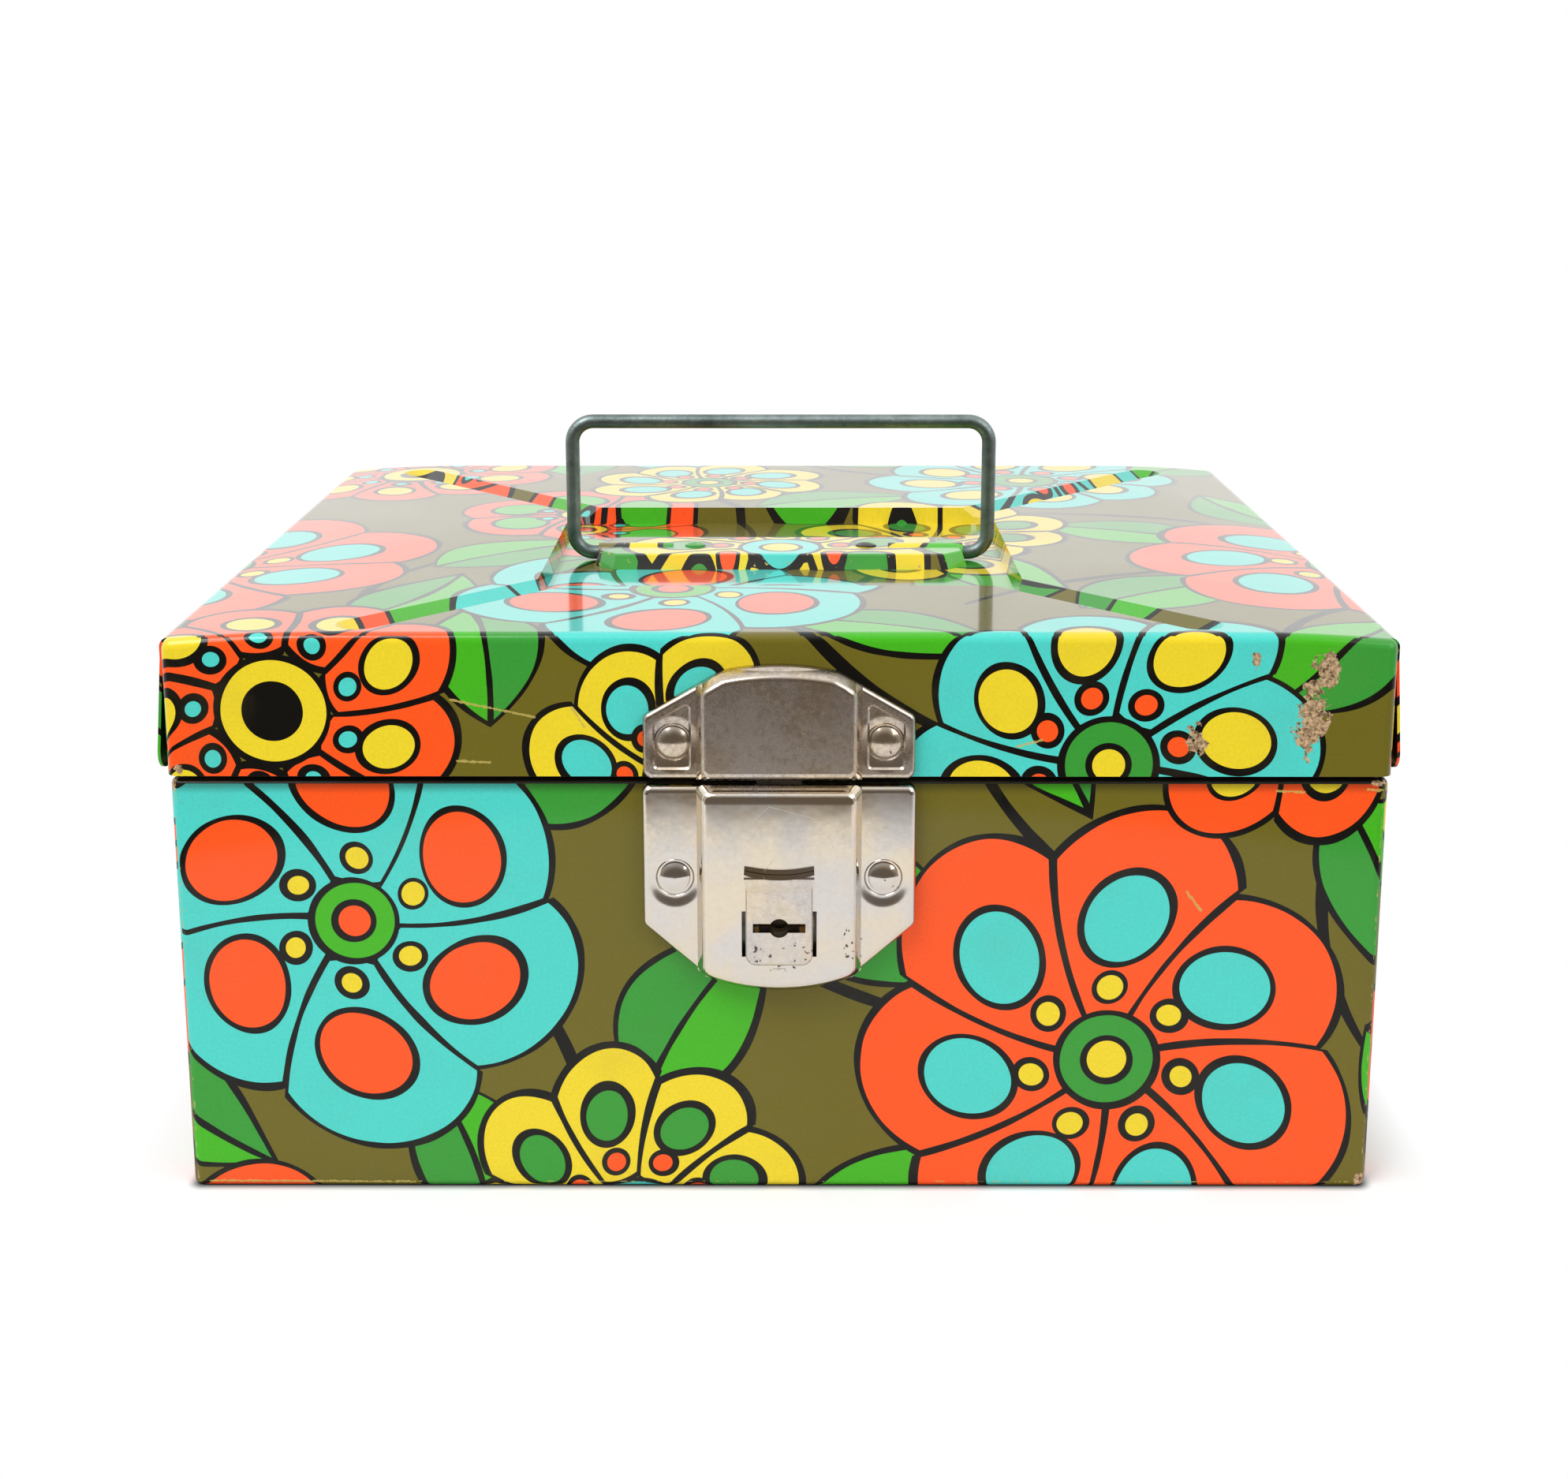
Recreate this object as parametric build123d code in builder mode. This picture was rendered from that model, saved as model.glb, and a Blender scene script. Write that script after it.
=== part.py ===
from build123d import *
import os
from math import atan2, cos, degrees, hypot, radians, sqrt, tan

# Card box of printed tinplate: a folded tray, a hinged pan lid with a bail handle,
# and a nickel-plated catch with a sliding key lock.
# Millimetres. Origin: middle of the flat underside. +X right, +Z up, the catch faces -Y.

# ---- Box ----------------------------------------------------------------------
sheet = 0.7                  # tinplate of the tray and the lid
box_width = 311.0            # over the lid's side skirts
box_depth = 260.0            # over the lid's front and back skirts
box_height = 150.0           # floor to the lid's top

lid_skirt = 37.0             # height of the lid's skirts
lid_gap = 1.2                # lid's lower edge to the tray's shoulder
lid_bend = 2.5               # outer bend between the lid's top and its skirts
lid_corner = 3.5             # outer radius of the lid's upright corners
crown_run = 40.0             # width of the curved strip along each side of the lid's top
crown_drop = 2.0             # how far the top falls over that strip
tab_length = 15.0            # corner tabs of the front and back skirts, inside the side skirts
skirt_setback = 3.2          # end of a side skirt to the face of the front or back skirt
splay_run = 48.0             # length of the stretch over which a side skirt bends outwards
splay_left = 2.4             # how far its lower front end stands out, left side
splay_right = 2.0            # and right side
splay_corner = 6.0           # radius of that end's lower corner

body_inset = 1.0             # tray's wall inside the lid's outer face
body_corner = 3.0            # outer radius of the tray's upright corners
heel_radius = 1.6            # outer bend at the floor
shoulder_radius = 1.8        # outer bend at the shoulder
neck_step = 2.0              # how far the neck steps in from the wall
neck_height = 16.0           # neck above the shoulder
hem_height = 5.0             # rim folded back inside the neck

# ---- Lid embossing --------------------------------------------------------------
recess_width = 134.0         # sunk field that takes the folded handle
recess_length = 118.0
recess_depth = 5.0
recess_corner = 7.0
recess_draft = 14.0          # slope of its walls, degrees
recess_forward = 15.0        # middle of the field in front of the lid's middle
rib_width = 12.0             # diagonal channels between the field and the corners
rib_depth = 2.8
rib_draft = 50.0
rib_overlap = 4.0            # how far a channel's inner end reaches into the field
front_rib_side = 49.0        # outer end of a front channel to the lid's side
front_rib_edge = 10.5        # and to its front
back_rib_side = 27.0
back_rib_edge = 16.0

# ---- Handle -----------------------------------------------------------------------
wire_diameter = 4.1          # bail
bail_width = 123.2           # between the middles of the bail's legs
bail_rise = 39.4             # pivot line to the middle of the grip
bail_top_radius = 6.2        # middle of the wire at the upper bends
bail_foot_radius = 6.0       # and at the lower ones
bail_foot_length = 19.0      # turned-in end past its bend
bail_floor_gap = 0.25        # folded wire above the sunk field
bail_clearance = 0.08        # round the wire in the bracket

bracket_length = 110.0
bracket_width = 29.0
bracket_height = 4.4
bracket_sheet = 0.8
bracket_draft = 20.0
bracket_chamfer = 6.0
bead_length = 23.0           # raised bead over each end of the wire
handle_rivet_spacing = 51.0  # between the two rivets

# ---- Rivets -------------------------------------------------------------------------
rivet_shank = 1.6            # radii
handle_rivet_head = 3.1
catch_rivet_head = 3.9
rivet_tail = 2.6
handle_head_height = 1.2
catch_head_height = 1.7
tail_height = 0.9
dimple_radius = 4.9          # seat round each catch rivet
dimple_depth = 0.4
dimple_draft = 45.0

# ---- Catch cover on the lid and lock case on the tray ---------------------------------
cover_sheet = 0.8
wing_rise = 2.6              # wings above the lid's wall
cover_rise = 5.6             # raised middle above the lid's wall
wing_corner = 2.3            # corners of the wings
knee_round = 5.0             # where the clipped corners run into the bow
middle_side = 19.0           # the bow ends inside this distance from the middle line
rim_width = 2.5              # bead left round the catch cover's wings
rim_depth = 0.45
rim_draft = 50.0
field_corner = 1.3
field_side = 22.1            # inner border of the wings' fields

catch_edge = 1.3             # rounding of the catch cover's rim
catch_half_width = 34.2
catch_side = 16.3            # straight side of the catch cover
catch_knee = 24.4            # height of its clipped corners
catch_height = 29.4
catch_bow = 64.0             # radius of its bowed end
catch_rivet_side = 26.6      # rivet to the middle line
catch_rivet_height = 9.7     # rivet above the lid's lower edge

case_edge = 1.8              # rounding of the lock case's rim
case_half_width = 34.7
case_drop = 0.6              # case's upper edge below the shoulder
case_side = 37.0
case_knee = 49.7
case_height = 54.7
case_bow = 50.0
case_rivet_side = 26.4
case_rivet_drop = 24.1       # rivet below the case's upper edge

knee_half_width = 20.3       # both plates: where their clipped corners are measured
flat_half_width = 19.1       # both plates: border of the raised middle
middle_draft = 30.0          # slope of its sides
middle_edge = -0.4           # foot of the slope past the plate's straight edge, where it is cut flush
middle_bow = 0.2             # and inside the bow
middle_corner = 2.6
middle_brow = 1.7            # rounding of the flat's border
tab_width = 3.5              # small tab struck up under the button
tab_height = 1.7
tab_rise = 0.15
tab_drop = 47.5              # its top below the case's upper edge

# ---- Latch ----------------------------------------------------------------------------
play = 0.3                   # clearance between parts that slide on each other
hasp_sheet = 1.2
hasp_half_width = 31.0
hasp_plate_height = 13.0     # riveted part, above the lid's lower edge
hasp_plate_lift = 1.2        # its lower edge above the lid's lower edge
tongue_width = 11.4
tongue_length = 18.6         # below the lid's lower edge
tongue_bevel = 1.6
notch_depth = 3.5            # notch in the tongue's right edge
notch_low = 3.4              # above the tongue's tip
notch_height = 4.0
tongue_slot_play = 0.8

plate_sheet = 0.8            # back plate on the tray's wall
rail_height = 0.8

bolt_sheet = 1.0
bolt_gap = 0.7               # bolt's back to the tongue's face
bolt_height = 8.0
bolt_length = 11.5
bolt_travel = 3.6
drive_pin_radius = 1.2
drive_pin_side = 9.5         # drive pin to the middle line

slide_sheet = 0.9
slide_left = 10.5            # slide's left edge to the middle line
slide_corner = 1.5
slide_gap = 0.2              # slide's back to the bolt's face
slide_top_margin = 1.2       # sheet left above the slanting slot
slide_foot = 6.4             # slide's lower edge below the keyhole
slide_waist = 7.4            # above the keyhole, where the slide widens
slide_stem = 16.6            # its width below that

button_travel = 5.0
button_width = 17.0
button_thickness = 2.2
button_height = 24.7
button_drop = 21.2           # top of the thumb ledge below the case's upper edge
button_edge = 0.8            # rounding of its face
ledge_width = 17.7
ledge_reach = 4.0            # thumb ledge beyond the case's face
ledge_height = 4.4
ledge_hollow = 1.2           # dip of the ledge's upper edge
ledge_nose = 0.7             # rounding of its lip
button_corner = 2.8
stem_width = 17.0
stem_above_key = 3.3         # stem above and below the keyhole
window_width = 19.0
keyhole_drop = 35.7          # keyhole below the case's upper edge
key_slot_width = 13.3
key_slot_height = 2.4
key_bore = 2.5               # radius

tumbler_radius = 6.2
tumbler_sheet = 1.1
tumbler_slot_width = 10.4
lug_length = 2.6
lug_width = 3.0
cup_sheet = 0.6
cup_depth = 2.1
cup_lip = 0.8                # how far the cup's rim holds the tumbler

spring_side = 14.3           # spring's middle to the middle line
spring_radius = 1.7          # middle of the wire
spring_wire = 0.6
spring_turns = 7
spring_length = 17.0
spring_foot_drop = 6.0       # spring's lower end below the keyhole
shelf_sheet = 0.8
shelf_width = 5.4

# ---- Hinge ------------------------------------------------------------------------------
hinge_length = 252.0
knuckle_count = 7
knuckle_gap = 0.3
pin_radius = 1.2
pin_play = 0.05
pin_overhang = 1.0
leaf_sheet = 0.9
leaf_height = 14.5
leaf_clearance = 0.45        # a leaf's edge to the other leaf's knuckle
skirt_clearance = 0.3        # knuckle to the lid's back skirt
hinge_rivets_per_leaf = 5
hinge_rivet_pitch = 54.0
hinge_rivet_height = 9.5     # rivet to the pin
hinge_rivet_head = 2.2
hinge_rivet_shank = 1.2
hinge_head_height = 0.9

# ---- Worked out from the values above -----------------------------------------------------
lid_edge = box_height - lid_skirt              # height of the lid's lower edge
shoulder = lid_edge - lid_gap
neck_top = shoulder + neck_height
lid_front = box_depth / 2                      # distances from the middle, towards -Y
lid_side = box_width / 2
body_width = box_width - 2 * body_inset
body_depth = box_depth - 2 * body_inset
body_front = body_depth / 2
neck_width = body_width - 2 * neck_step
neck_depth = body_depth - 2 * neck_step
neck_corner = max(body_corner - neck_step / 2, 3 * sheet)

recess_floor = box_height - recess_depth
recess_y = -recess_forward
pivot_z = recess_floor + bail_floor_gap + wire_diameter / 2
bore_radius = wire_diameter / 2 + bail_clearance

case_top = shoulder - case_drop
keyhole_z = case_top - keyhole_drop
case_face = lid_front + cover_rise             # front of the lock case's raised middle
case_rise = case_face - body_front
case_wing = wing_rise + body_inset             # case's wings stand flush with the catch cover's
slope = tan(radians(middle_draft))
leaning_sheet = cover_sheet / cos(radians(middle_draft))
window_low = keyhole_z - stem_above_key - button_travel - play
window_high = keyhole_z + stem_above_key + play

tongue_tip = lid_edge - tongue_length
tongue_face = lid_front + hasp_sheet
bolt_back = tongue_face + bolt_gap
bolt_face = bolt_back + bolt_sheet
slide_back = bolt_face + slide_gap
slide_face = slide_back + slide_sheet
plate_face = body_front + plate_sheet
notch_z = tongue_tip + notch_low
bolt_z = notch_z + notch_height / 2            # middle of the bolt
button_back = case_face + play

axis_y = lid_front + skirt_clearance + pin_radius + pin_play + leaf_sheet
axis_z = (lid_edge + shoulder) / 2
knuckle_radius = pin_radius + pin_play + leaf_sheet


# ---- Shared shapes --------------------------------------------------------------------------
def tray_block(width, depth, low, high, corner, heel, brow):
    """Upright block with rounded corners, its lower edge rounded by heel and its upper one by brow."""
    with BuildPart() as block:
        with BuildSketch(Plane.XY.offset(low)):
            RectangleRounded(width, depth, corner)
        extrude(amount=high - low)
        fillet(block.faces().sort_by(Axis.Z)[0].edges(), heel)
        fillet(block.faces().sort_by(Axis.Z)[-1].edges(), brow)
    return block.part


def lid_section(half_width, inset, low):
    """Cross-section under the lid's crowned top, moved in by inset and cut off at the height low."""
    flat = lid_side - crown_run
    crown_radius = (crown_run ** 2 + crown_drop ** 2) / (2 * crown_drop)
    top = box_height - inset
    arc_radius = crown_radius - inset
    side_top = top - arc_radius + sqrt(arc_radius ** 2 - (half_width - flat) ** 2)
    with BuildSketch() as section:
        with BuildLine():
            Polyline((-half_width, side_top), (-half_width, low), (half_width, low), (half_width, side_top))
            TangentArc((flat, top), (half_width, side_top), tangent=(1, 0))
            TangentArc((-flat, top), (-half_width, side_top), tangent=(-1, 0))
            Line((-flat, top), (flat, top))
        make_face()
    return section.sketch


def lid_block(inset, low):
    """Solid under the lid's top and inside its corner tabs, moved in by inset."""
    half_width = lid_side - sheet - inset
    section = lid_section(half_width, inset, low)
    with BuildPart() as block:
        with BuildSketch(Plane.XZ):
            add(section)
        extrude(amount=lid_front - inset, both=True)
        fillet(block.edges().filter_by(Axis.Z), lid_corner - sheet - inset)
        rim = block.edges().filter_by(lambda e: e.center().Z > box_height - inset - crown_drop - sheet)
        seams = rim.filter_by(Axis.Y).filter_by(lambda e: abs(e.center().X) < half_width - sheet)
        fillet(rim - seams, lid_bend - inset)
    return block.part


def lid_channel(inset, low):
    """Solid under the lid's top and between its side skirts, moved in by inset."""
    half_width = lid_side - inset
    section = lid_section(half_width, inset, low)
    with BuildPart() as block:
        with BuildSketch(Plane.XZ):
            add(section)
        extrude(amount=lid_front - skirt_setback + 2 * inset, both=True)
        sides = block.edges().filter_by(Axis.Y).filter_by(lambda e: abs(e.center().X) > half_width - sheet)
        fillet(sides.filter_by(lambda e: e.center().Z > low + sheet), lid_bend - inset)
    return block.part


def lid_relief(grow):
    """The lid's sunk field and its four diagonal channels as one tool, grown by grow."""
    with BuildPart() as relief:
        with BuildSketch(Plane.XY.offset(box_height)):
            with Locations((0, recess_y)):
                RectangleRounded(recess_width + 2 * grow, recess_length + 2 * grow, recess_corner + grow)
        extrude(amount=-recess_depth - grow, taper=recess_draft)
        for toward, side_margin, edge_margin in (
            (-1, front_rib_side, front_rib_edge),
            (1, back_rib_side, back_rib_edge),
        ):
            for hand in (-1, 1):
                inner = Vector(
                    hand * (recess_width / 2 - rib_overlap),
                    recess_y + toward * (recess_length / 2 - rib_overlap),
                )
                outer = Vector(hand * (lid_side - side_margin), toward * (lid_front - edge_margin))
                along = outer - inner
                middle = (inner + outer) * 0.5
                turn = degrees(atan2(along.Y, along.X))
                with BuildSketch(Plane.XY.offset(box_height)):
                    with Locations(Location((middle.X, middle.Y, 0), (0, 0, turn))):
                        SlotCenterToCenter(along.length, rib_width + 2 * grow)
                extrude(amount=-rib_depth - grow, taper=rib_draft)
    return relief.part


def plate_outline(shape, half_width, inset, end_inset):
    """Outline of a catch plate moved in by inset and cut to half_width; its straight end moves in by end_inset."""
    full, edge, away, side, knee, height, bow = shape
    lean = hypot(knee - side, full - knee_half_width)
    across = (knee - side) / lean
    along = (full - knee_half_width) / lean
    border = across * full + along * side - inset
    corner = (border - across * half_width) / along
    with BuildSketch() as outline:
        with BuildLine():
            Polyline(
                (-half_width, edge + away * end_inset),
                (half_width, edge + away * end_inset),
                (half_width, edge + away * corner),
                (0, edge + away * border / along),
                (-half_width, edge + away * corner),
                close=True,
            )
        make_face()
        with Locations((0, edge + away * (height - bow))):
            Circle(bow - inset, mode=Mode.INTERSECT)
    return outline.sketch


def plate_block(outline, base, depth, corner, knee, draft=0):
    """A catch plate's outline raised by depth, with its corners rounded."""
    with BuildPart() as block:
        with BuildSketch(Plane.XZ.offset(base)):
            add(outline)
        extrude(amount=depth, taper=draft)
        uprights = block.edges().filter_by(lambda e: e.bounding_box().size.Y > depth / 2)
        fillet(uprights.filter_by(lambda e: abs(e.center().X) > middle_side), corner)
        uprights = block.edges().filter_by(lambda e: e.bounding_box().size.Y > depth / 2)
        fillet(uprights.filter_by(lambda e: abs(e.center().X) < middle_side), knee)
    return block.part


def stamped_plate(shape, wall, wing, rise, edge_round, field_depth):
    """A catch plate pressed from sheet: wings with a rounded rim and a raised middle with sloping sides."""
    full, edge, away = shape[:3]
    foot = flat_half_width + slope * (rise - wing)
    block = plate_block(plate_outline(shape, full, 0, 0), wall, wing, wing_corner, knee_round)
    base = plate_outline(shape, foot, middle_bow, 0)
    base = extrude(Plane.XZ.offset(wall) * base, amount=wing)
    raised = plate_outline(shape, foot, middle_bow, middle_edge)
    raised = plate_block(raised, wall + wing, rise - wing, middle_corner, knee_round, middle_draft)
    raised = fillet(raised.faces().sort_by(Axis.Y)[0].edges(), middle_brow)
    inner = full - cover_sheet
    hollow = plate_outline(shape, inner, cover_sheet, cover_sheet)
    hollow_depth = wing - cover_sheet - field_depth
    hollow = plate_block(hollow, wall, hollow_depth, wing_corner - cover_sheet, knee_round)
    core_inset = middle_bow + leaning_sheet
    core = plate_outline(shape, foot - leaning_sheet, core_inset, leaning_sheet)
    core_foot = extrude(Plane.XZ.offset(wall) * core, amount=wing)
    core_depth = rise - cover_sheet - wing
    core = plate_block(core, wall + wing, core_depth, middle_corner - cover_sheet, knee_round, middle_draft)
    fields = offset(plate_outline(shape, full, 0, 0), amount=-rim_width, kind=Kind.INTERSECTION)
    fields -= Pos(0, edge) * Rectangle(2 * field_side, 4 * full)
    with BuildPart() as plate:
        add(block)
        fillet(plate.faces().sort_by(Axis.Y)[0].edges(), edge_round)
        if field_depth:
            with BuildSketch(Plane.XZ.offset(wall + wing)) as field_sketch:
                add(fields)
                fillet(field_sketch.vertices(), field_corner)
            extrude(amount=-field_depth, taper=rim_draft, mode=Mode.SUBTRACT)
        add(base)
        add(raised)
        with BuildSketch(Plane.XZ.offset(wall)):
            with Locations((0, edge - away * full)):
                Rectangle(4 * full, 2 * full)
        extrude(amount=rise, mode=Mode.SUBTRACT)
        add(hollow, mode=Mode.SUBTRACT)
        add(core_foot, mode=Mode.SUBTRACT)
        add(core, mode=Mode.SUBTRACT)
    return plate.part


def rivet(seat, outward, head, head_height, shank, grip, tail, tail_length):
    """Round-headed rivet: its head stands on seat and points outward, its tail is clinched after grip."""
    side = Vector(1, 0, 0)
    frame = Plane(origin=seat, x_dir=side, z_dir=side.cross(outward))
    rim = head_height * 0.3
    with BuildPart() as piece:
        with BuildSketch(frame):
            with BuildLine():
                ThreePointArc((0, head_height), (head * 0.62, rim + (head_height - rim) * 0.62), (head, rim))
                Polyline(
                    (head, rim),
                    (head, 0),
                    (shank, 0),
                    (shank, -grip),
                    (tail, -grip),
                    (tail * 0.8, -grip - tail_length),
                    (0, -grip - tail_length),
                    (0, head_height),
                )
            make_face()
        revolve(axis=Axis(seat, outward))
    return piece.part


def hinge_leaf(skin, reach, first):
    """Leaf of the hinge on the wall at skin, reaching up or down, with every second knuckle from first."""
    flat_edge = axis_z + reach * (knuckle_radius + leaf_clearance)
    pitch = hinge_length / knuckle_count
    with BuildPart() as leaf:
        with BuildSketch(Plane.YZ.offset(-hinge_length / 2)):
            with Locations((skin + leaf_sheet / 2, (flat_edge + axis_z + reach * leaf_height) / 2)):
                Rectangle(leaf_sheet, abs(axis_z + reach * leaf_height - flat_edge))
        extrude(amount=hinge_length)
        for index in range(first, knuckle_count, 2):
            with BuildSketch(Plane.YZ.offset(-hinge_length / 2 + index * pitch + knuckle_gap / 2)):
                with Locations((axis_y, axis_z)):
                    Circle(knuckle_radius)
                with BuildLine():
                    Polyline(
                        (skin, flat_edge),
                        (skin + leaf_sheet, flat_edge),
                        (axis_y - knuckle_radius + leaf_sheet, axis_z),
                        (axis_y - knuckle_radius, axis_z),
                        close=True,
                    )
                make_face()
            extrude(amount=pitch - knuckle_gap)
        with BuildSketch(Plane.YZ.offset(-hinge_length / 2)):
            with Locations((axis_y, axis_z)):
                Circle(pin_radius + pin_play)
        extrude(amount=hinge_length, mode=Mode.SUBTRACT)
    return leaf.part


def hinge_rivet_seats(skin, reach):
    """Where the rivets of one hinge leaf sit."""
    middle = (hinge_rivets_per_leaf - 1) / 2
    height = axis_z + reach * hinge_rivet_height
    return [
        Vector((index - middle) * hinge_rivet_pitch, skin + leaf_sheet, height)
        for index in range(hinge_rivets_per_leaf)
    ]


def drill(seats, radius, direction):
    """Round rods through the seats: the tool that bores the rivets' holes."""
    with BuildPart() as rods:
        for seat in seats:
            with BuildSketch(Plane(origin=seat, z_dir=direction)):
                Circle(radius)
            extrude(amount=2 * wing_rise + 2 * bracket_height, both=True)
    return rods.part


def rivet_row(seats, outward, head, head_height, shank, grip, tail, tail_length):
    """One rivet at each seat."""
    with BuildPart() as row:
        for seat in seats:
            add(rivet(seat, outward, head, head_height, shank, grip, tail, tail_length))
    return row.part


# ---- Tray -------------------------------------------------------------------------------------
lock_rivet_seats = [
    Vector(hand * case_rivet_side, -(body_front + case_wing), case_top - case_rivet_drop)
    for hand in (-1, 1)
]
hinge_body_seats = hinge_rivet_seats(body_front, -1)
lock_drills = drill(lock_rivet_seats, rivet_shank, (0, 1, 0))
hinge_body_drills = drill(hinge_body_seats, hinge_rivet_shank, (0, 1, 0))

body_outer = tray_block(body_width, body_depth, 0, shoulder, body_corner, heel_radius, shoulder_radius)
body_inner = tray_block(
    body_width - 2 * sheet,
    body_depth - 2 * sheet,
    sheet,
    shoulder - sheet,
    body_corner - sheet,
    heel_radius - sheet,
    shoulder_radius - sheet,
)
with BuildPart() as body_tray:
    add(body_outer)
    with BuildSketch(Plane.XY.offset(shoulder - shoulder_radius)):
        RectangleRounded(neck_width, neck_depth, neck_corner)
    extrude(amount=shoulder_radius + neck_height)
    fillet(body_tray.faces().sort_by(Axis.Z)[-1].edges(), sheet * 0.9)
    add(body_inner, mode=Mode.SUBTRACT)
    with BuildSketch(Plane.XY.offset(shoulder / 2)):
        RectangleRounded(neck_width - 2 * sheet, neck_depth - 2 * sheet, neck_corner - sheet)
    extrude(amount=neck_top - hem_height - shoulder / 2, mode=Mode.SUBTRACT)
    with BuildSketch(Plane.XY.offset(neck_top - hem_height - sheet)):
        RectangleRounded(neck_width - 4 * sheet, neck_depth - 4 * sheet, neck_corner - 2 * sheet)
    extrude(amount=hem_height + 2 * sheet, mode=Mode.SUBTRACT)
    add(lock_drills, mode=Mode.SUBTRACT)
    add(hinge_body_drills, mode=Mode.SUBTRACT)

# ---- Lid ------------------------------------------------------------------------------------------
catch_rivet_seats = [
    Vector(hand * catch_rivet_side, -(lid_front + wing_rise - rim_depth), lid_edge + catch_rivet_height)
    for hand in (-1, 1)
]
handle_rivet_seats = [
    Vector(hand * handle_rivet_spacing / 2, recess_y, recess_floor + bracket_height) for hand in (-1, 1)
]
hinge_lid_seats = hinge_rivet_seats(lid_front, 1)
catch_drills = drill(catch_rivet_seats, rivet_shank, (0, 1, 0))
handle_drills = drill(handle_rivet_seats, rivet_shank, (0, 0, 1))
hinge_lid_drills = drill(hinge_lid_seats, hinge_rivet_shank, (0, 1, 0))

lid_outer = lid_block(0, lid_edge)
lid_inner = lid_block(sheet, lid_edge - sheet)
channel_outer = lid_channel(0, lid_edge)
channel_inner = lid_channel(sheet, lid_edge - sheet)
relief_outer = lid_relief(sheet) & lid_outer
relief_inner = lid_relief(0)
skirt_front = -(lid_front - skirt_setback)
ear_top = box_height - crown_drop - 2 * lid_bend


def skirt_ear(hand, splay):
    """Front stretch of a side skirt, flat at its back end and bent out by splay at its lower front end."""
    inner = lid_side - sheet
    with BuildPart() as ear:
        for share, bent in ((0, 1), (0.45, 0.3), (1, 0)):
            place = skirt_front + splay_run * share
            stand = splay * bent
            with BuildSketch(Plane.XZ.offset(-place)):
                with BuildLine():
                    Polyline(
                        (hand * inner, ear_top),
                        (hand * lid_side, ear_top),
                        (hand * (lid_side + stand), lid_edge),
                        (hand * (inner + stand), lid_edge),
                        close=True,
                    )
                make_face()
        loft(ruled=True)
        tip = ear.edges().filter_by(lambda e: e.center().Z < lid_edge + sheet)
        fillet(tip.sort_by(Axis.Y)[0], splay_corner)
    return ear.part


ear_left = skirt_ear(-1, splay_left)
ear_right = skirt_ear(1, splay_right)
channel = channel_outer - channel_inner
with BuildPart() as lid_pan:
    add(lid_outer)
    add(lid_inner, mode=Mode.SUBTRACT)
    # The front and back skirts end in tabs, so between them the side wall is cut away.
    with BuildSketch(Plane.XY.offset(lid_edge - sheet)):
        with Locations((-lid_side, 0), (lid_side, 0)):
            Rectangle(4 * lid_bend, box_depth - 2 * tab_length)
    extrude(amount=lid_skirt + sheet, mode=Mode.SUBTRACT)
    add(channel)
    add(relief_outer)
    add(relief_inner, mode=Mode.SUBTRACT)
    # The front stretch of each side skirt bends outwards towards its lower end.
    with BuildSketch(Plane.XY.offset(lid_edge - sheet)):
        for hand in (-1, 1):
            with Locations((hand * (lid_side + sheet), skirt_front + splay_run / 2 - sheet / 2)):
                Rectangle(4 * sheet, splay_run + sheet)
    extrude(amount=ear_top - lid_edge + sheet, mode=Mode.SUBTRACT)
    add(ear_left)
    add(ear_right)
    add(catch_drills, mode=Mode.SUBTRACT)
    add(handle_drills, mode=Mode.SUBTRACT)
    add(hinge_lid_drills, mode=Mode.SUBTRACT)

# ---- Handle ---------------------------------------------------------------------------------------
with BuildPart() as handle_bracket:
    with BuildSketch(Plane.XY.offset(recess_floor)) as bracket_plan:
        with Locations((0, recess_y)):
            Rectangle(bracket_length, bracket_width)
        chamfer(bracket_plan.vertices(), bracket_chamfer)
    extrude(amount=bracket_height, taper=bracket_draft)
    fillet(handle_bracket.faces().sort_by(Axis.Z)[-1].edges(), bracket_sheet * 0.9)
    for hand in (-1, 1):
        with BuildSketch(Plane.YZ.offset(hand * (bracket_length / 2 - bracket_sheet))):
            with Locations((recess_y, pivot_z)):
                Circle(bore_radius + bracket_sheet)
        extrude(amount=-hand * (bead_length - bracket_sheet))
    with BuildSketch(Plane.XY.offset(recess_floor)) as bracket_hollow:
        with Locations((0, recess_y)):
            Rectangle(bracket_length - 2 * bracket_sheet, bracket_width - 2 * bracket_sheet)
        chamfer(bracket_hollow.vertices(), bracket_chamfer)
    extrude(amount=bracket_height - bracket_sheet, taper=bracket_draft, mode=Mode.SUBTRACT)
    for hand in (-1, 1):
        # The wire's way in: round above its middle, open to the lid below it.
        with BuildSketch(Plane.YZ.offset(hand * (bracket_length / 2 + bracket_sheet))):
            with Locations((recess_y, pivot_z)):
                Circle(bore_radius)
            with Locations((recess_y, (pivot_z + recess_floor) / 2 - bracket_sheet)):
                Rectangle(2 * bore_radius, pivot_z - recess_floor + 2 * bracket_sheet)
        extrude(amount=-hand * bead_length, mode=Mode.SUBTRACT)
    with BuildSketch(Plane.XY.offset(recess_floor)):
        with Locations((0, recess_y)):
            Rectangle(2 * bracket_length, 2 * bracket_width)
    extrude(amount=-bracket_height, mode=Mode.SUBTRACT)
    add(handle_drills, mode=Mode.SUBTRACT)

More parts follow.
